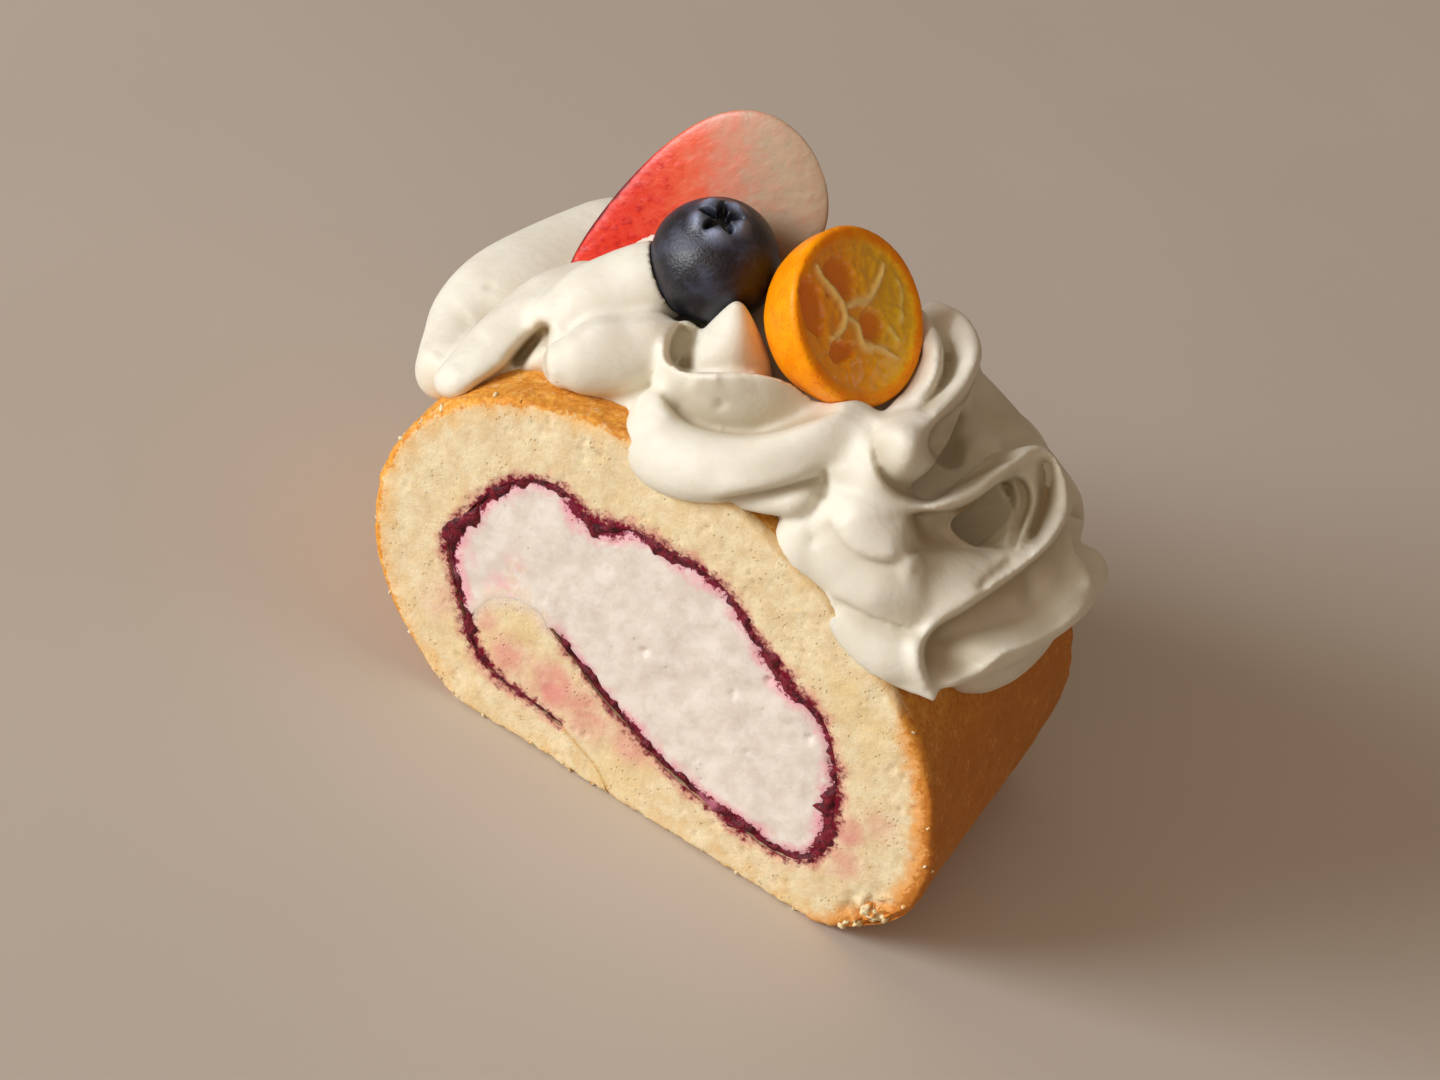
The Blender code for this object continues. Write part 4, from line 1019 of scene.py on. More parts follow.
def jam_strip(finish, run, half):
    """The jam: a wet ragged strip that stands a little out of the cut face."""
    fine_run, fine_half = [run[0]], [half[0]]
    for one, two, thick, thick_after in zip(run, run[1:], half, half[1:]):
        steps = max(1, round((two - one).length / JAM_PITCH))
        for step in range(1, steps + 1):
            fine_run.append(one.lerp(two, step / steps))
            fine_half.append(thick + (thick_after - thick) * step / steps)
    depth = ROLL_DEPTH - JAM_SETBACK
    rows = np.linspace(-depth / 2 + 0.8, depth / 2 - 0.8, INNER_ROWS)
    strip = ragged_strip(fine_run, fine_half)
    outline, corners, faces, ends, _ = slab(strip, depth, JAM_PITCH, rows, seed=5)
    flat = corners[:, [0, 2]]
    cut = ends != 0
    edge = distance_to([*outline, outline[0]], flat)
    lift = 0.45 * fade(edge, 0.0, 0.8) + 0.25 * waves(corners, 1.4, 3, seed=3.0) * fade(edge, 0.1, 0.6) - 0.1
    corners[:, 1] += np.where(cut, ends * lift, 0)
    fields = {"clear": patches(flat, CLEAR_JAM) * cut}
    belongs(piece("jam_swirl", corners, faces, finish, fields), "berry jam", "jam")


def filling(finish, jam_path):
    """The cream inside the jam, cut with a knife."""
    line, _, start = turn_line()
    run = line[start:]
    inner = offset_path(run, [-JAM_GAP] * len(run))
    end, foot = sheet_end(inner, offset_path(run, [JAM_GAP] * len(run))[-1])
    face = offset_path(end, [0.04] * len(end))
    depth = ROLL_DEPTH - FILLING_SETBACK
    rows = np.linspace(-depth / 2 + 1.0, depth / 2 - 1.0, INNER_ROWS)
    outline, corners, faces, ends, _ = slab(inner[foot + 2:] + face[1:-1], depth, CUT_PITCH, rows, seed=7)
    flat = corners[:, [0, 2]]
    cut = ends != 0
    edge = distance_to([*outline, outline[0]], flat)
    beside_tail = distance_to(end, flat)
    holes = 1 - fade(pits(corners, 3.4, seed=5.0), 0.06, 0.2)
    holes *= fade(waves(corners, 5.0, 1, seed=2.0), 0.0, 0.2)
    lift = 0.25 * waves(corners, 6.0, seed=1.0) + 0.07 * waves(corners, 1.9, 3, seed=6.0) - 0.1 - 0.5 * holes
    lift -= 0.25 * (1 - fade(edge, 0.0, 1.0)) * fade(beside_tail, 0.5, 2.0)
    # Beside the inner end of the sheet the cream is level with the sponge
    lift += (0.2 + face_level(corners) - lift) * (1 - fade(beside_tail, 0.3, 2.5))
    corners[:, 1] += np.where(cut, ends * lift, 0)
    fields = {
        "jam": np.where(cut, soak_field(flat, jam_path), 3.0),
        "smear": np.where(cut, beside_tail, FAR),
        "stain": patches(flat, CREAM_STAINS) * cut,
        "crumbs": patches(flat, CREAM_CRUMBS) * cut,
    }
    made = piece("cream_spiral", corners, faces, finish, fields, cut=True)
    belongs(made, "cream filling", "cream_filling")


def fold_rings(pinch, stations):
    """A fold of piped cream: an egg-shaped section carried along a path and closed with round ends."""
    path = smooth_path(stations, FOLD_STEPS)
    places = [Vector(p[:3]) for p in path]
    rings = []
    for i, place in enumerate(places):
        along = (places[min(i + 1, len(places) - 1)] - places[max(i - 1, 0)]).normalized()
        rings.append((place, along, path[i][3] / 2, path[i][4] / 2))
    front = [cap_ring(rings[0], -angle) for angle in reversed(FOLD_CAPS)]
    back = [cap_ring(rings[-1], angle) for angle in FOLD_CAPS]
    corners, faces = [], []
    for place, along, height, width in front + rings + back:
        out = place - Vector((ROLL_AXIS.x, place.y, ROLL_AXIS.z))
        side = along.cross(out).normalized()
        up = side.cross(along)
        for k in range(FOLD_SIDES):
            turn = math.tau * k / FOLD_SIDES
            half = width * (1 - pinch * (1 + math.sin(turn)) / 2)
            corners.append(place + side * math.cos(turn) * half + up * math.sin(turn) * height)
    loops = len(corners) // FOLD_SIDES
    for loop in range(loops - 1):
        faces += ring_faces(loop * FOLD_SIDES, (loop + 1) * FOLD_SIDES, FOLD_SIDES)
    for loop, ring, sign in ((0, rings[0], -1), (loops - 1, rings[-1], 1)):
        corners.append(ring[0] + ring[1] * sign * min(ring[2], ring[3]))
        first = loop * FOLD_SIDES
        faces += [(first + k, first + (k + 1) % FOLD_SIDES, len(corners) - 1) for k in range(FOLD_SIDES)]
    return corners, faces


def cap_ring(ring, angle):
    """A smaller ring beyond the end of a fold, at an angle round its end."""
    place, along, height, width = ring
    reach = min(height, width)
    less = math.cos(math.radians(angle))
    return place + along * reach * math.sin(math.radians(angle)), along, height * less, width * less


def turned_mesh(profile, segments):
    """A profile from its top to its bottom on the axis, turned about Z: corners and faces."""
    top, bottom = profile[0], profile[-1]
    corners = [Vector((0, 0, top[1]))]
    for x, z in profile[1:-1]:
        corners += [Vector((x * math.cos(math.tau * k / segments), x * math.sin(math.tau * k / segments), z))
                    for k in range(segments)]
    corners.append(Vector((0, 0, bottom[1])))
    faces = [(0, 1 + k, 1 + (k + 1) % segments) for k in range(segments)]
    for ring in range(len(profile) - 3):
        one = 1 + ring * segments
        faces += ring_faces(one, one + segments, segments, turned=True)
    last = len(corners) - 1
    one = last - segments
    faces += [(one + k, last, one + (k + 1) % segments) for k in range(segments)]
    return corners, faces


def placed(corners, frame_matrix):
    """Corners taken to a frame in the slice."""
    return [frame_matrix @ Vector(c) for c in corners]


def turn_to(axis):
    """The turn that brings +Z to an axis."""
    return axis.to_track_quat("Z", "Y").to_matrix().to_4x4()


def tool(name, corners, faces):
    """A hidden shape that only cuts others."""
    made = piece(name, corners, faces, None, smooth=False)
    made.data.materials.clear()
    made.hide_render = True
    return made


def berry_profile(steps):
    """The side of the blueberry from its top to its bottom."""
    angles = [math.pi * i / steps for i in range(steps + 1)]
    return [(BLUEBERRY_RADIUS * math.sin(a), BLUEBERRY_HEIGHT / 2 * math.cos(a)) for a in angles]


def blueberry_frame():
    """The middle of the blueberry, with +Z up through its crown."""
    return Matrix.Translation(BLUEBERRY_CENTRE) @ turn_to(BLUEBERRY_AXIS)


def kumquat_frame():
    """The middle of the cut face, with +Z out of it."""
    return Matrix.Translation(KUMQUAT_CENTRE) @ turn_to(KUMQUAT_AXIS)


def kumquat_profile(steps):
    """The half kumquat from the middle of its cut face to its bottom."""
    angles = [math.pi / 2 * i / steps for i in range(steps)]
    side = [(KUMQUAT_RADIUS * math.cos(a), -KUMQUAT_LENGTH * math.sin(a)) for a in angles]
    return [(0, 0), *side, (0, -KUMQUAT_LENGTH)]


def strawberry_frame():
    """The tip of the slice, with +X along it and +Y through it."""
    stand = Matrix.Translation(STRAWBERRY_TIP) @ Matrix.Rotation(math.radians(-STRAWBERRY_LEAN), 4, "X")
    return stand @ Matrix.Rotation(math.radians(-STRAWBERRY_TURN), 4, "Y")


def fullness(along):
    """How far the side of the strawberry stands out, at a share of its length from the tip."""
    return along ** STRAWBERRY_TAPER * math.sqrt(max(0.0, 1 - along ** STRAWBERRY_BLUNTNESS))


def strawberry_sides():
    """The most that the strawberry's fullness is to be widened by."""
    share = STRAWBERRY_TAPER / (STRAWBERRY_TAPER + STRAWBERRY_BLUNTNESS / 2)
    return STRAWBERRY_WIDTH / 2 / fullness(share ** (1 / STRAWBERRY_BLUNTNESS))


def strawberry_mesh(margin, steps, sides):
    """A thin slice of strawberry in its own frame: corners, faces, share along and share across."""
    widen = strawberry_sides()
    corners, faces, along_shares, across_shares = [], [], [], []
    for face in (-1, 1):
        for i in range(steps + 1):
            along = (1 - math.cos(math.pi * i / steps)) / 2
            for k in range(sides + 1):
                across = math.sin(math.pi * (k / sides - 0.5))
                breadth = widen * fullness(along) + margin
                thick = (STRAWBERRY_THICKNESS / 2 + margin) * math.sqrt(max(0.0, 1 - abs(across) ** 3))
                near_tip = min(1.0, along * STRAWBERRY_LENGTH / 1.2, (1 - along) * STRAWBERRY_LENGTH / 3.0)
                thick *= math.sqrt(near_tip)
                reach = STRAWBERRY_LENGTH + 2 * margin
                corners.append(Vector((along * reach - margin, face * thick, across * breadth)))
                along_shares.append(along)
                across_shares.append(across)
    row = sides + 1
    layer = row * (steps + 1)
    for face in (0, 1):
        for i in range(steps):
            for k in range(sides):
                one = face * layer + i * row + k
                quad = (one, one + 1, one + row + 1, one + row)
                faces.append(quad if face else quad[::-1])
    return corners, faces, np.array(along_shares), np.array(across_shares)


def closed(made):
    """Merges the corners that lie on each other and turns the faces outwards."""
    shape = bmesh.new()
    shape.from_mesh(made.data)
    bmesh.ops.remove_doubles(shape, verts=shape.verts, dist=0.008 * MM)
    bmesh.ops.dissolve_degenerate(shape, edges=shape.edges, dist=0.004 * MM)
    bmesh.ops.recalc_face_normals(shape, faces=shape.faces)
    shape.to_mesh(made.data)
    shape.free()
    return made


def add_modifier(made, kind, **settings):
    """Adds a modifier to an object."""
    modifier = made.modifiers.new(kind.lower(), kind)
    for name, value in settings.items():
        setattr(modifier, name, value)


def applied(made):
    """The object's mesh with its modifiers taken up."""
    bpy.context.view_layer.update()
    evaluated = made.evaluated_get(bpy.context.evaluated_depsgraph_get())
    data = bpy.data.meshes.new_from_object(evaluated)
    made.modifiers.clear()
    made.data = data
    return made


def view_axes():
    """The directions to the right, up and back towards the camera in the picture."""
    azimuth, elevation, roll = (math.radians(a) for a in VIEW_TURN)
    back = Vector((math.sin(azimuth) * math.cos(elevation), -math.cos(azimuth) * math.cos(elevation),
                   math.sin(elevation)))
    level = Vector((math.cos(azimuth), math.sin(azimuth), 0))
    rise = back.cross(level)
    right = level * math.cos(roll) + rise * math.sin(roll)
    return right, rise * math.cos(roll) - level * math.sin(roll), back


class Picture:
    """The camera's picture of a mesh: where things are seen, and what lies there."""

    def __init__(self, made):
        self.right, self.up, self.back = view_axes()
        self.eye = VIEW_TARGET + self.back * VIEW_DISTANCE
        self.focus = VIEW_LENS / VIEW_SENSOR * PICTURE[0]
        self.tree = bvhtree.BVHTree.FromPolygons([v.co / MM for v in made.data.vertices],
                                                 [p.vertices for p in made.data.polygons])

    def seen(self, corners):
        """Where corners are seen, in pixels, and how far in front of the camera."""
        away = np.asarray(corners) - np.array(self.eye)
        depth = -(away @ np.array(self.back))
        across = PICTURE[0] / 2 + self.focus * (away @ np.array(self.right)) / depth
        down = PICTURE[1] / 2 - self.focus * (away @ np.array(self.up)) / depth
        return np.stack([across, down], 1), depth

    def ray(self, spot):
        """The direction in which a pixel looks, for each millimetre forwards."""
        x, y = (spot[0] - PICTURE[0] / 2) / self.focus, (PICTURE[1] / 2 - spot[1]) / self.focus
        return self.right * x + self.up * y - self.back

    def depth_at(self, spot):
        """How far in front of the camera the mesh lies at a pixel, or None."""
        hit = self.tree.ray_cast(self.eye, self.ray(spot).normalized())[0]
        return (self.eye - hit).dot(self.back) if hit else None

    def line(self, spots):
        """A smooth line through pixels: its points, and its depths on the mesh."""
        points = [tuple(p.xy) for p in smooth_path(spots, PATH_STEPS)]
        found = [(i, self.depth_at(p)) for i, p in enumerate(points)]
        known = np.array([(i, depth) for i, depth in found if depth is not None])
        return np.array(points), np.interp(range(len(points)), known[:, 0], known[:, 1])


def beside(spots, points):
    """For each spot: how far to the left of a line in a picture it lies, along the line where, and which
    stretch of the line is nearest. Distances are in pixels."""
    start, run = points[:-1], np.diff(points, axis=0)
    length = np.linalg.norm(run, axis=1)
    total = np.concatenate(([0], np.cumsum(length)))
    offset = spots[:, None] - start[None]
    share = np.clip((offset * run).sum(2) / length ** 2, 0, 1)
    away = np.linalg.norm(offset - run[None] * share[..., None], axis=2)
    nearest = away.argmin(1)
    rows = np.arange(len(spots))
    turn = run[nearest, 1] * offset[rows, nearest, 0] - run[nearest, 0] * offset[rows, nearest, 1]
    along = total[nearest] + share[rows, nearest] * length[nearest]
    return away[rows, nearest] * np.where(turn >= 0, 1, -1), along / total[-1], nearest


def hollow(picture, across, down, length, breadth, depth, angle):
    """An egg-shaped tool set into the mesh where the picture shows a hollow."""
    spot = (across, down)
    middle = picture.eye + picture.ray(spot) * picture.depth_at(spot)
    turn = math.radians(angle)
    long_axis = picture.right * math.cos(turn) + picture.up * math.sin(turn)
    axes = Matrix((long_axis * length, picture.back.cross(long_axis) * breadth, picture.back * depth))
    angles = [math.pi * i / HOLLOW_STEPS for i in range(HOLLOW_STEPS + 1)]
    ball, faces = turned_mesh([(math.sin(a), math.cos(a)) for a in angles], HOLLOW_SIDES)
    return tool("hollow", placed(ball, Matrix.Translation(middle) @ axes.transposed().to_4x4()), faces)


def soften_swirl(made):
    """Smooths away the joins of the folds in the large swirl, where the lips are drawn anew."""
    picture = Picture(made)
    spots, _ = picture.seen([v.co / MM for v in made.data.vertices])
    group = made.vertex_groups.new(name="swirl")
    curl = fade(CURL_START[1] - spots[:, 0], 0, CURL_START[1] - CURL_START[0])
    share = np.maximum(fade(spots[:, 0], *SWIRL_START), 0.4 * curl)
    for i in np.flatnonzero(share > 0.02):
        group.add([int(i)], float(share[i]), "REPLACE")
    add_modifier(made, "SMOOTH", factor=0.5, iterations=SWIRL_ROUNDS, vertex_group="swirl")
    applied(made)


def corners_of(made):
    """The corners of a mesh in millimetres, and the directions out of it there."""
    count = len(made.data.vertices)
    corners, normals = np.empty(count * 3), np.empty(count * 3)
    made.data.vertices.foreach_get("co", corners)
    made.data.vertices.foreach_get("normal", normals)
    return corners.reshape(-1, 3) / MM, normals.reshape(-1, 3)


def level_with(depth, surface):
    """1 for corners about as far away as a surface, and 0 for those well in front of it or behind it."""
    whole, none = LINE_DEPTHS
    return fade(none - np.abs(depth - surface), 0.0, none - whole)


def along_line(picture, line, width, spots, depth, facing):
    """The corners that a line in the picture passes, how far to its left they lie in millimetres, and how
    fully they follow it."""
    points, depths = picture.line(line)
    reach = 3 * width * PIXELS_PER_MM
    near = np.flatnonzero(((spots > points.min(0) - reach) & (spots < points.max(0) + reach)).all(1))
    away, along, stretch = beside(spots[near], points)
    share = facing[near] * level_with(depth[near], depths[stretch])
    share *= fade(along, *LINE_ENDS) * fade(1 - along, *LINE_ENDS)
    return near, away / PIXELS_PER_MM, share


def cream_relief(picture, corners, normals):
    """How far the lips of the folds stand out along the line of sight, and how far the creases sink."""
    count = len(corners)
    spots, depth = picture.seen(corners)
    facing = fade(normals @ np.array(picture.back), -0.1, 0.25)
    raised, sunk, added = np.zeros(count), np.zeros(count), np.zeros(count)
    for stand, stand_width, sink, sink_width, line in CREAM_LIPS.values():
        width = max(stand_width, sink_width)
        near, away, share = along_line(picture, line, width, spots, depth, facing)
        left, right = np.maximum(away, 0), np.maximum(-away, 0)
        lip = stand * np.exp(-(left / stand_width) ** 2) * np.sqrt(np.clip(left / 0.5, 0, 1)) * (away > 0)
        crease = sink * np.exp(-(right / sink_width) ** 1.5) * fade(right, 0.0, 0.35)
        raised[near] = np.maximum(raised[near], lip * share)
        sunk[near] = np.maximum(sunk[near], crease * share)
    for height, width, line in CREAM_LINES.values():
        near, away, share = along_line(picture, line, width, spots, depth, facing)
        added[near] += height * share * np.exp(-(away / width) ** 2)
    for across, down, breadth, rise, height, steepness in CREAM_SWELLS:
        shift = (spots - (across, down)) / PIXELS_PER_MM / (breadth, rise)
        share = facing * level_with(depth, picture.depth_at((across, down)))
        added += height * share * np.exp(-np.linalg.norm(shift, axis=1) ** steepness)
    return raised + np.maximum(added, 0), sunk - np.minimum(added, 0)


def crease_shade_field(picture, corners, normals):
    """How deep each corner lies in a crease or a hollow, from 0 to 1: the share of painted shade in its
    colour.
    """
    _, sunk = cream_relief(picture, corners, normals)
    spots, _ = picture.seen(corners)
    for across, down, length, breadth, _, angle, dark in CREAM_HOLLOWS:
        turn = math.radians(angle)
        axes = np.array(((math.cos(turn), -math.sin(turn)), (math.sin(turn), math.cos(turn))))
        shift = (spots - (across, down)) / PIXELS_PER_MM @ axes.T / (length, breadth)
        share = np.exp(-np.linalg.norm(shift, axis=1) ** 3) * (normals @ np.array(picture.back) > 0)
        sunk = np.maximum(sunk, CREASE_DEPTH * dark * share)
    return np.clip(sunk / CREASE_DEPTH, 0, 1).astype(np.float32)


def fold_shapes():
    """All the folds of the cream and its peak: corners and faces."""
    shapes = [fold_rings(*fold) for fold in CREAM_FOLDS.values()]
    peak, peak_faces = turned_mesh(PEAK_PROFILE, FOLD_SIDES)
    shapes.append((placed(peak, Matrix.Translation(PEAK_PLACE) @ turn_to(PEAK_AXIS)), peak_faces))
    corners, faces = [], []
    for shape_corners, shape_faces in shapes:
        faces += [tuple(len(corners) + i for i in face) for face in shape_faces]
        corners += shape_corners
    return [tuple(c) for c in corners], faces


def roll_space():
    """A tool of the roll's shape, small enough for the cream to bite into the skin."""
    roll = np.array([tuple(p.xy) for p in smooth_path(OUTLINE_KNOTS, 6, OUTLINE_LEADS)])
    roll -= CREAM_BITE * outward(roll)
    count = len(roll)
    half = ROLL_DEPTH / 2 - ROLL_SPACE_SETBACK
    corners = [(x, y, z) for y in (-half, half) for x, z in roll]
    caps = [tuple(range(count)), tuple(range(2 * count - 1, count - 1, -1))]
    return tool("roll space", corners, ring_faces(0, count, count) + caps)


def cream_tools():
    """The tools that keep the cream out of the roll and the fruit."""
    berry, berry_faces = turned_mesh(berry_profile(32), 64)
    kumquat_half, kumquat_faces = turned_mesh(kumquat_profile(32), 72)
    slice_corners, slice_faces, _, _ = strawberry_mesh(0.05, 30, 14)
    return [
        roll_space(),
        tool("berry space", placed(berry, blueberry_frame()), berry_faces),
        tool("kumquat space", placed(kumquat_half, kumquat_frame()), kumquat_faces),
        closed(tool("slice space", placed(slice_corners, strawberry_frame()), slice_faces)),
    ]


def remesh(made):
    """Makes one even closed skin of whatever overlaps."""
    add_modifier(made, "REMESH", mode="VOXEL", voxel_size=CREAM_VOXEL * MM)


def cut_away(made, tools):
    """Cuts tools out of the cream and evens its skin."""
    for shape in tools:
        add_modifier(made, "BOOLEAN", operation="DIFFERENCE", solver="MANIFOLD", object=shape)
    remesh(made)


def piped_cream(finish):
    """The piped cream: its folds fused, cut round the roll and the fruit, and softened."""
    made = piece("piped_cream", *fold_shapes(), finish)
    tools = cream_tools()
    remesh(made)
    add_modifier(made, "SMOOTH", factor=0.5, iterations=6)
    applied(made)
    picture = Picture(made)
    hollows = [hollow(picture, *row[:-1]) for row in CREAM_HOLLOWS]
    cut_away(made, hollows)
    applied(made)
    soften_swirl(made)
    picture = Picture(made)
    corners, normals = corners_of(made)
    raised, sunk = cream_relief(picture, corners, normals)
    corners += np.array(picture.back) * (raised - sunk)[:, None]
    made.data.vertices.foreach_set("co", (corners * MM).ravel())
    made.data.update()
    remesh(made)
    cut_away(made, tools)
    add_modifier(made, "SMOOTH", factor=0.5, iterations=2)
    applied(made)
    add_modifier(made, "DECIMATE", ratio=min(1.0, CREAM_TRIANGLES / 2 / len(made.data.polygons)))
    applied(made)
    for shape in tools + hollows:
        bpy.data.objects.remove(shape)
    made.data.shade_smooth()
    made.data.materials.clear()
    made.data.materials.append(finish)
    # Painted shade: how far each corner's cream is darkened in creases and hollows
    creases = crease_shade_field(picture, *corners_of(made))
    made.data.attributes.new("crease", "FLOAT", "POINT").data.foreach_set("value", creases)
    belongs(made, "piped cream", "cream_topping")


def strawberry(finish):
    """The slice of strawberry, its cut faces wet and faintly fibrous."""
    corners, faces, along, across = strawberry_mesh(0.0, 90, 56)
    place = np.array([tuple(c) for c in corners])
    grain = 0.05 * waves(place * (0.4, 1.0, 1.0), 1.3, 3, seed=1.0)
    inner = 1 - np.abs(across) ** 4
    place[:, 1] += np.sign(place[:, 1]) * (grain - 0.08) * inner
    width = strawberry_sides() * np.array([fullness(a) for a in along])
    edge = np.minimum(width * (1 - np.abs(across)), (1 - along) * STRAWBERRY_LENGTH)
    ripe = 1 - fade(along * STRAWBERRY_LENGTH - across * 4.0, 7.0, 32.0)
    fields = {"ripe": ripe, "edge": edge, "along": along * STRAWBERRY_LENGTH, "across": across * width}
    world = placed(place, strawberry_frame())
    made = closed(piece("strawberry_cut", [tuple(c) for c in world], faces, finish, fields))
    belongs(made, "strawberry flesh", "strawberry_slice")


def blueberry(finish):
    """The blueberry with the star-shaped crown in its top."""
    corners, faces = turned_mesh(berry_profile(110), 150)
    place = np.array([tuple(c) for c in corners])
    off_axis = np.hypot(place[:, 0], place[:, 1])
    turn = np.arctan2(place[:, 1], place[:, 0])
    top = place[:, 2] > 0
    lobes = np.cos(CROWN_LOBES * turn + 0.6)
    star = 1.75 + 0.75 * lobes
    pit = (1 - fade(off_axis, star - 0.25, star + 0.35)) * top
    lobe = np.exp(-((off_axis - CROWN_RADIUS) / 0.75) ** 2) * (0.62 - 0.38 * lobes) * top
    place[:, 2] += 0.62 * lobe - CROWN_DEPTH * pit * (1 + 0.15 * waves(place, 0.8))
    unevenness = 0.1 * waves(place, 5.0, seed=3.0) - 0.08
    place *= (1 + unevenness / BLUEBERRY_RADIUS)[:, None]
    # Painted shade: the share of bloom kept, less towards the berry's lower side
    upper = 0.25 + 0.75 * fade(place[:, 2] - 0.35 * place[:, 0], -5.0, 3.0)
    fields = {"crown": lobe, "pit": pit, "upper": upper}
    world = placed(place, blueberry_frame())
    belongs(piece("blueberry_whole", [tuple(c) for c in world], faces, finish, fields),
            "blueberry skin", "blueberry")


def beside_paths(flat, paths):
    """For each path: how far each point lies from it, and how far along it, in shares."""
    for path in paths:
        distance, knot = Nearest(smooth_path(path, KUMQUAT_PATH_STEPS)).look(flat)
        yield distance, knot / (KUMQUAT_PATH_STEPS * (len(path) - 1))


def kumquat_face(flat):
    """The relief of the cut face at each of its corners, and the fields there."""
    away = np.hypot(flat[:, 0], flat[:, 1])
    wavy = waves(np.stack([flat[:, 0], flat[:, 1], np.zeros(len(flat))], 1), 1.2, 3, seed=2.0)
    within = 1 - fade(away, *KUMQUAT_PITH)
    height = within * (-0.45 + 0.28 * wavy) - (1 - within) * 0.05
    rounding = np.clip(away - (KUMQUAT_RADIUS - KUMQUAT_ROUNDING), 0, KUMQUAT_ROUNDING)
    height -= KUMQUAT_ROUNDING - np.sqrt(np.maximum(KUMQUAT_ROUNDING ** 2 - rounding ** 2, 0))
    chamber = np.zeros(len(flat))
    for x, y, breadth, length, depth in KUMQUAT_CHAMBERS:
        share = np.hypot((flat[:, 0] - x) / breadth, (flat[:, 1] - y) / length) + 0.12 * wavy
        sunk = 1 - fade(share, 0.45, 1.12)
        chamber = np.maximum(chamber, sunk)
        height = np.minimum(height, -depth * sunk * (1 + 0.12 * wavy) + 0.1 * wavy)
    strand = np.zeros(len(flat))
    for distance, share in beside_paths(flat, KUMQUAT_STRANDS):
        half = 0.34 + 0.24 * np.sin(math.pi * share) + 0.12 * wavy
        strand = np.maximum(strand, np.exp(-(distance / half) ** 2))
    height = np.maximum(height, -1.2 + 1.45 * strand + 0.1 * wavy * strand) * within + height * (1 - within)
    # Pale streaks painted on the flesh as highlights, each on a low raised ridge
    streak = np.zeros(len(flat))
    for distance, _ in beside_paths(flat, KUMQUAT_HIGHLIGHT_STREAKS):
        streak = np.maximum(streak, np.exp(-(distance / 0.3) ** 2) * (0.5 + 0.5 * np.abs(wavy)))
    height += 0.3 * streak
    fields = {"ring": away, "strand": strand * within, "chamber": chamber * (1 - strand), "streak": streak,
              "right": fade(flat[:, 0], -3.0, 6.0)}
    return np.stack([flat[:, 0], flat[:, 1], np.minimum(height, 0.0)], 1), fields


def kumquat_rind(turns, steps):
    """The corners of the rind below the cut face, ring by ring, and its tip, with fine dimples."""
    rings = []
    for angle in np.linspace(0, math.pi / 2, steps)[1:-1]:
        radius = KUMQUAT_RADIUS * math.cos(angle)
        level = np.full(len(turns), -KUMQUAT_ROUNDING - (KUMQUAT_LENGTH - KUMQUAT_ROUNDING) * math.sin(angle))
        rings.append(np.stack([radius * np.cos(turns), radius * np.sin(turns), level], 1))
    rind = np.concatenate(rings + [np.array([[0, 0, -KUMQUAT_LENGTH]])])
    dimples = 1 - fade(pits(rind, 1.2, seed=2.0), 0.08, 0.3)
    inwards = 1 - (0.08 * dimples - 0.1 * waves(rind, 4.0, seed=5.0) + 0.1) / KUMQUAT_RADIUS
    return rind * inwards[:, None]


def kumquat(finish):
    """Half a kumquat: domed rind, and a cut face with its chambers, strands, wet flesh and painted highlight
    streaks.
    """
    turns = np.linspace(0, math.tau, KUMQUAT_SIDES, endpoint=False)
    outline = np.stack([KUMQUAT_RADIUS * np.cos(turns), KUMQUAT_RADIUS * np.sin(turns)], 1)
    flat, faces = flat_triangles(outline, KUMQUAT_PITCH, seed=11)
    face, fields = kumquat_face(flat)
    rind = kumquat_rind(turns, KUMQUAT_RINGS)
    starts = [0, *range(len(flat), len(flat) + len(rind) - 1, KUMQUAT_SIDES)]
    for one, two in zip(starts, starts[1:]):
        faces += ring_faces(one, two, KUMQUAT_SIDES, turned=True)
    tip = len(flat) + len(rind) - 1
    faces += [(starts[-1] + k, tip, starts[-1] + (k + 1) % KUMQUAT_SIDES) for k in range(KUMQUAT_SIDES)]
    on_rind = {"ring": KUMQUAT_RADIUS}
    fields = {name: np.append(values, np.full(len(rind), on_rind.get(name, 0.0)))
              for name, values in fields.items()}
    world = placed(np.concatenate([face, rind]), kumquat_frame())
    belongs(piece("kumquat_cut", [tuple(c) for c in world], faces, finish, fields),
            "kumquat rind", "kumquat_half")


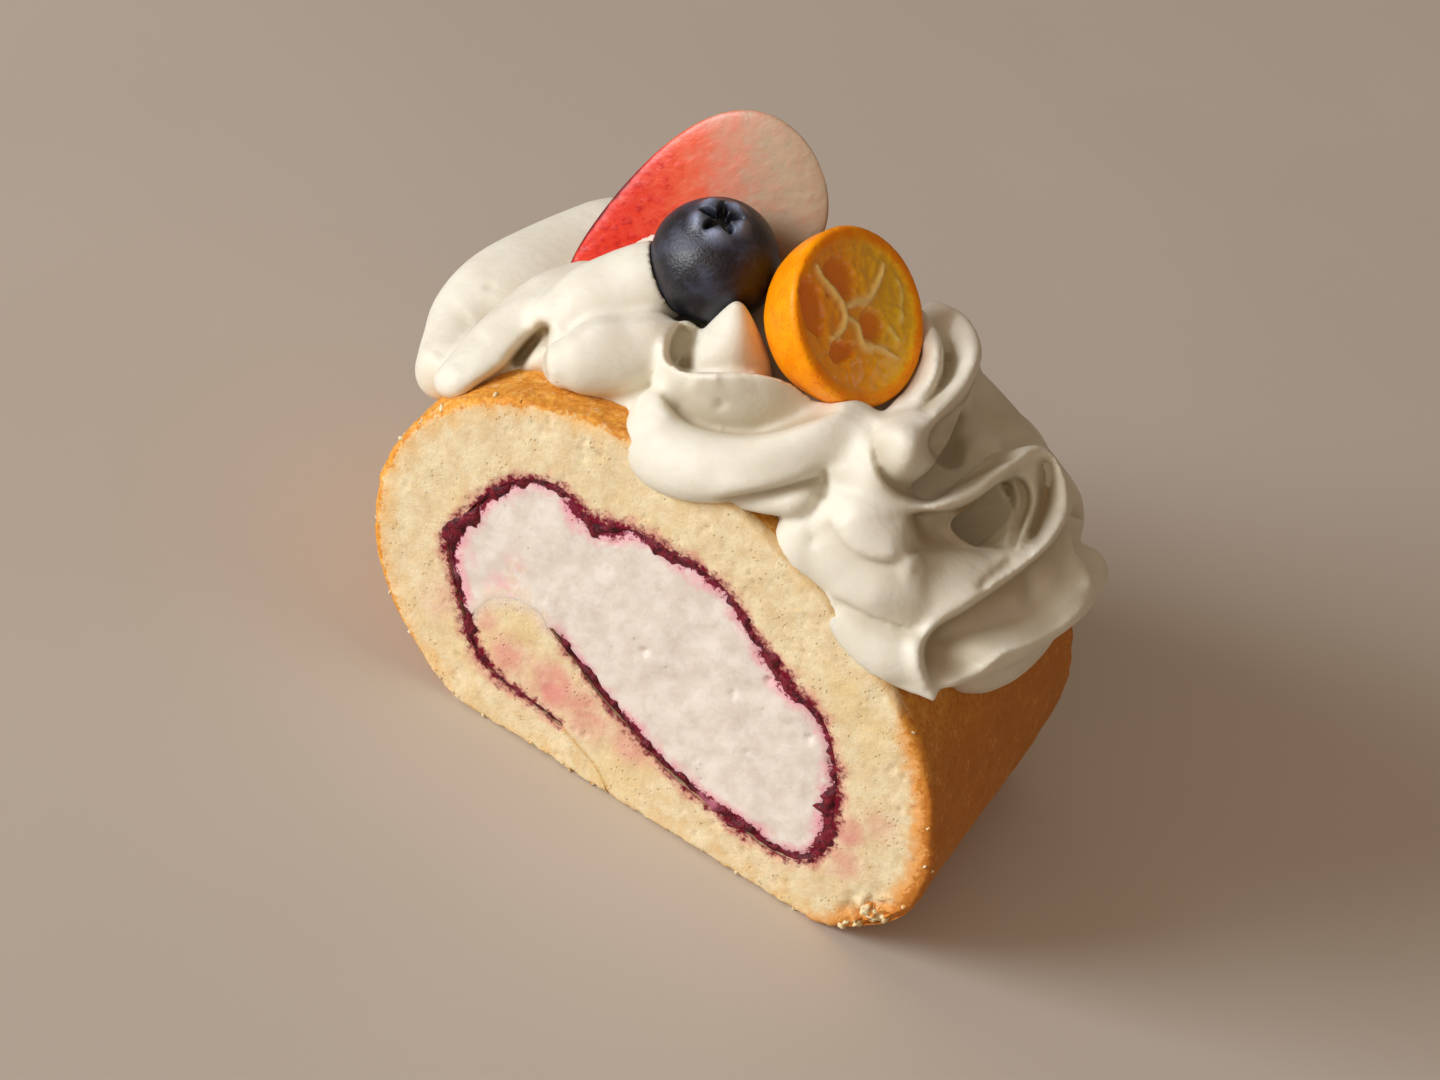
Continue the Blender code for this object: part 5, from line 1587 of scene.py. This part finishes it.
def camera():
    """The photograph's viewing angle."""
    right, up, back = view_axes()
    target = VIEW_TARGET * MM
    made = bpy.data.objects.new("camera", bpy.data.cameras.new("camera"))
    turn = Matrix((right, up, back)).transposed().to_4x4()
    made.matrix_world = Matrix.Translation(target + back * VIEW_DISTANCE * MM) @ turn
    made.data.lens = VIEW_LENS
    made.data.sensor_width = VIEW_SENSOR
    made.data.clip_start = 0.01
    bpy.context.scene.collection.objects.link(made)
    bpy.context.scene.camera = made
    return target, right, up, back


def area_light(name, target, direction, distance, size, power, colour):
    """A soft square light looking at the target."""
    data = bpy.data.lights.new(name, "AREA")
    data.size = size
    data.energy = power
    data.color = colour
    made = bpy.data.objects.new(name, data)
    made.matrix_world = Matrix.Translation(target + direction.normalized() * distance) @ turn_to(direction)
    bpy.context.scene.collection.objects.link(made)


def studio():
    """The camera, the plain floor, and soft light from the upper left of the picture."""
    target, *axes = camera()
    for name, shares, *settings in LIGHTS:
        direction = sum((axis * share for axis, share in zip(axes, shares)), Vector())
        area_light(name, target, direction, *settings)
    world = bpy.data.worlds.new("soft room")
    world.use_nodes = True
    room = world.node_tree.nodes["Background"].inputs
    room["Color"].default_value = ROOM_COLOUR
    room["Strength"].default_value = ROOM_STRENGTH
    bpy.context.scene.world = world
    bpy.context.scene.view_settings.view_transform = "Standard"
    corners = [(x * FLOOR_REACH, y * FLOOR_REACH, 0) for x, y in ((-1, -1), (1, -1), (1, 1), (-1, 1))]
    floor = piece("floor", corners, [(0, 1, 2, 3)], floor_finish(), smooth=False)
    floor.location.z = -FLOOR_GAP * MM


def main():
    line, half, start = turn_line()
    run, run_half = line[start:], half[start:]
    jam_path = Nearest([tuple(p) for p in run])
    sheet = sponge(sponge_finish(), jam_path)
    clinging_crumbs(crumb_finish(), sheet)
    jam_strip(jam_finish(), run, run_half)
    filling(filling_finish(), jam_path)
    piped_cream(piped_cream_finish())
    strawberry(strawberry_finish())
    blueberry(blueberry_finish())
    kumquat(kumquat_finish())
    studio()


main()
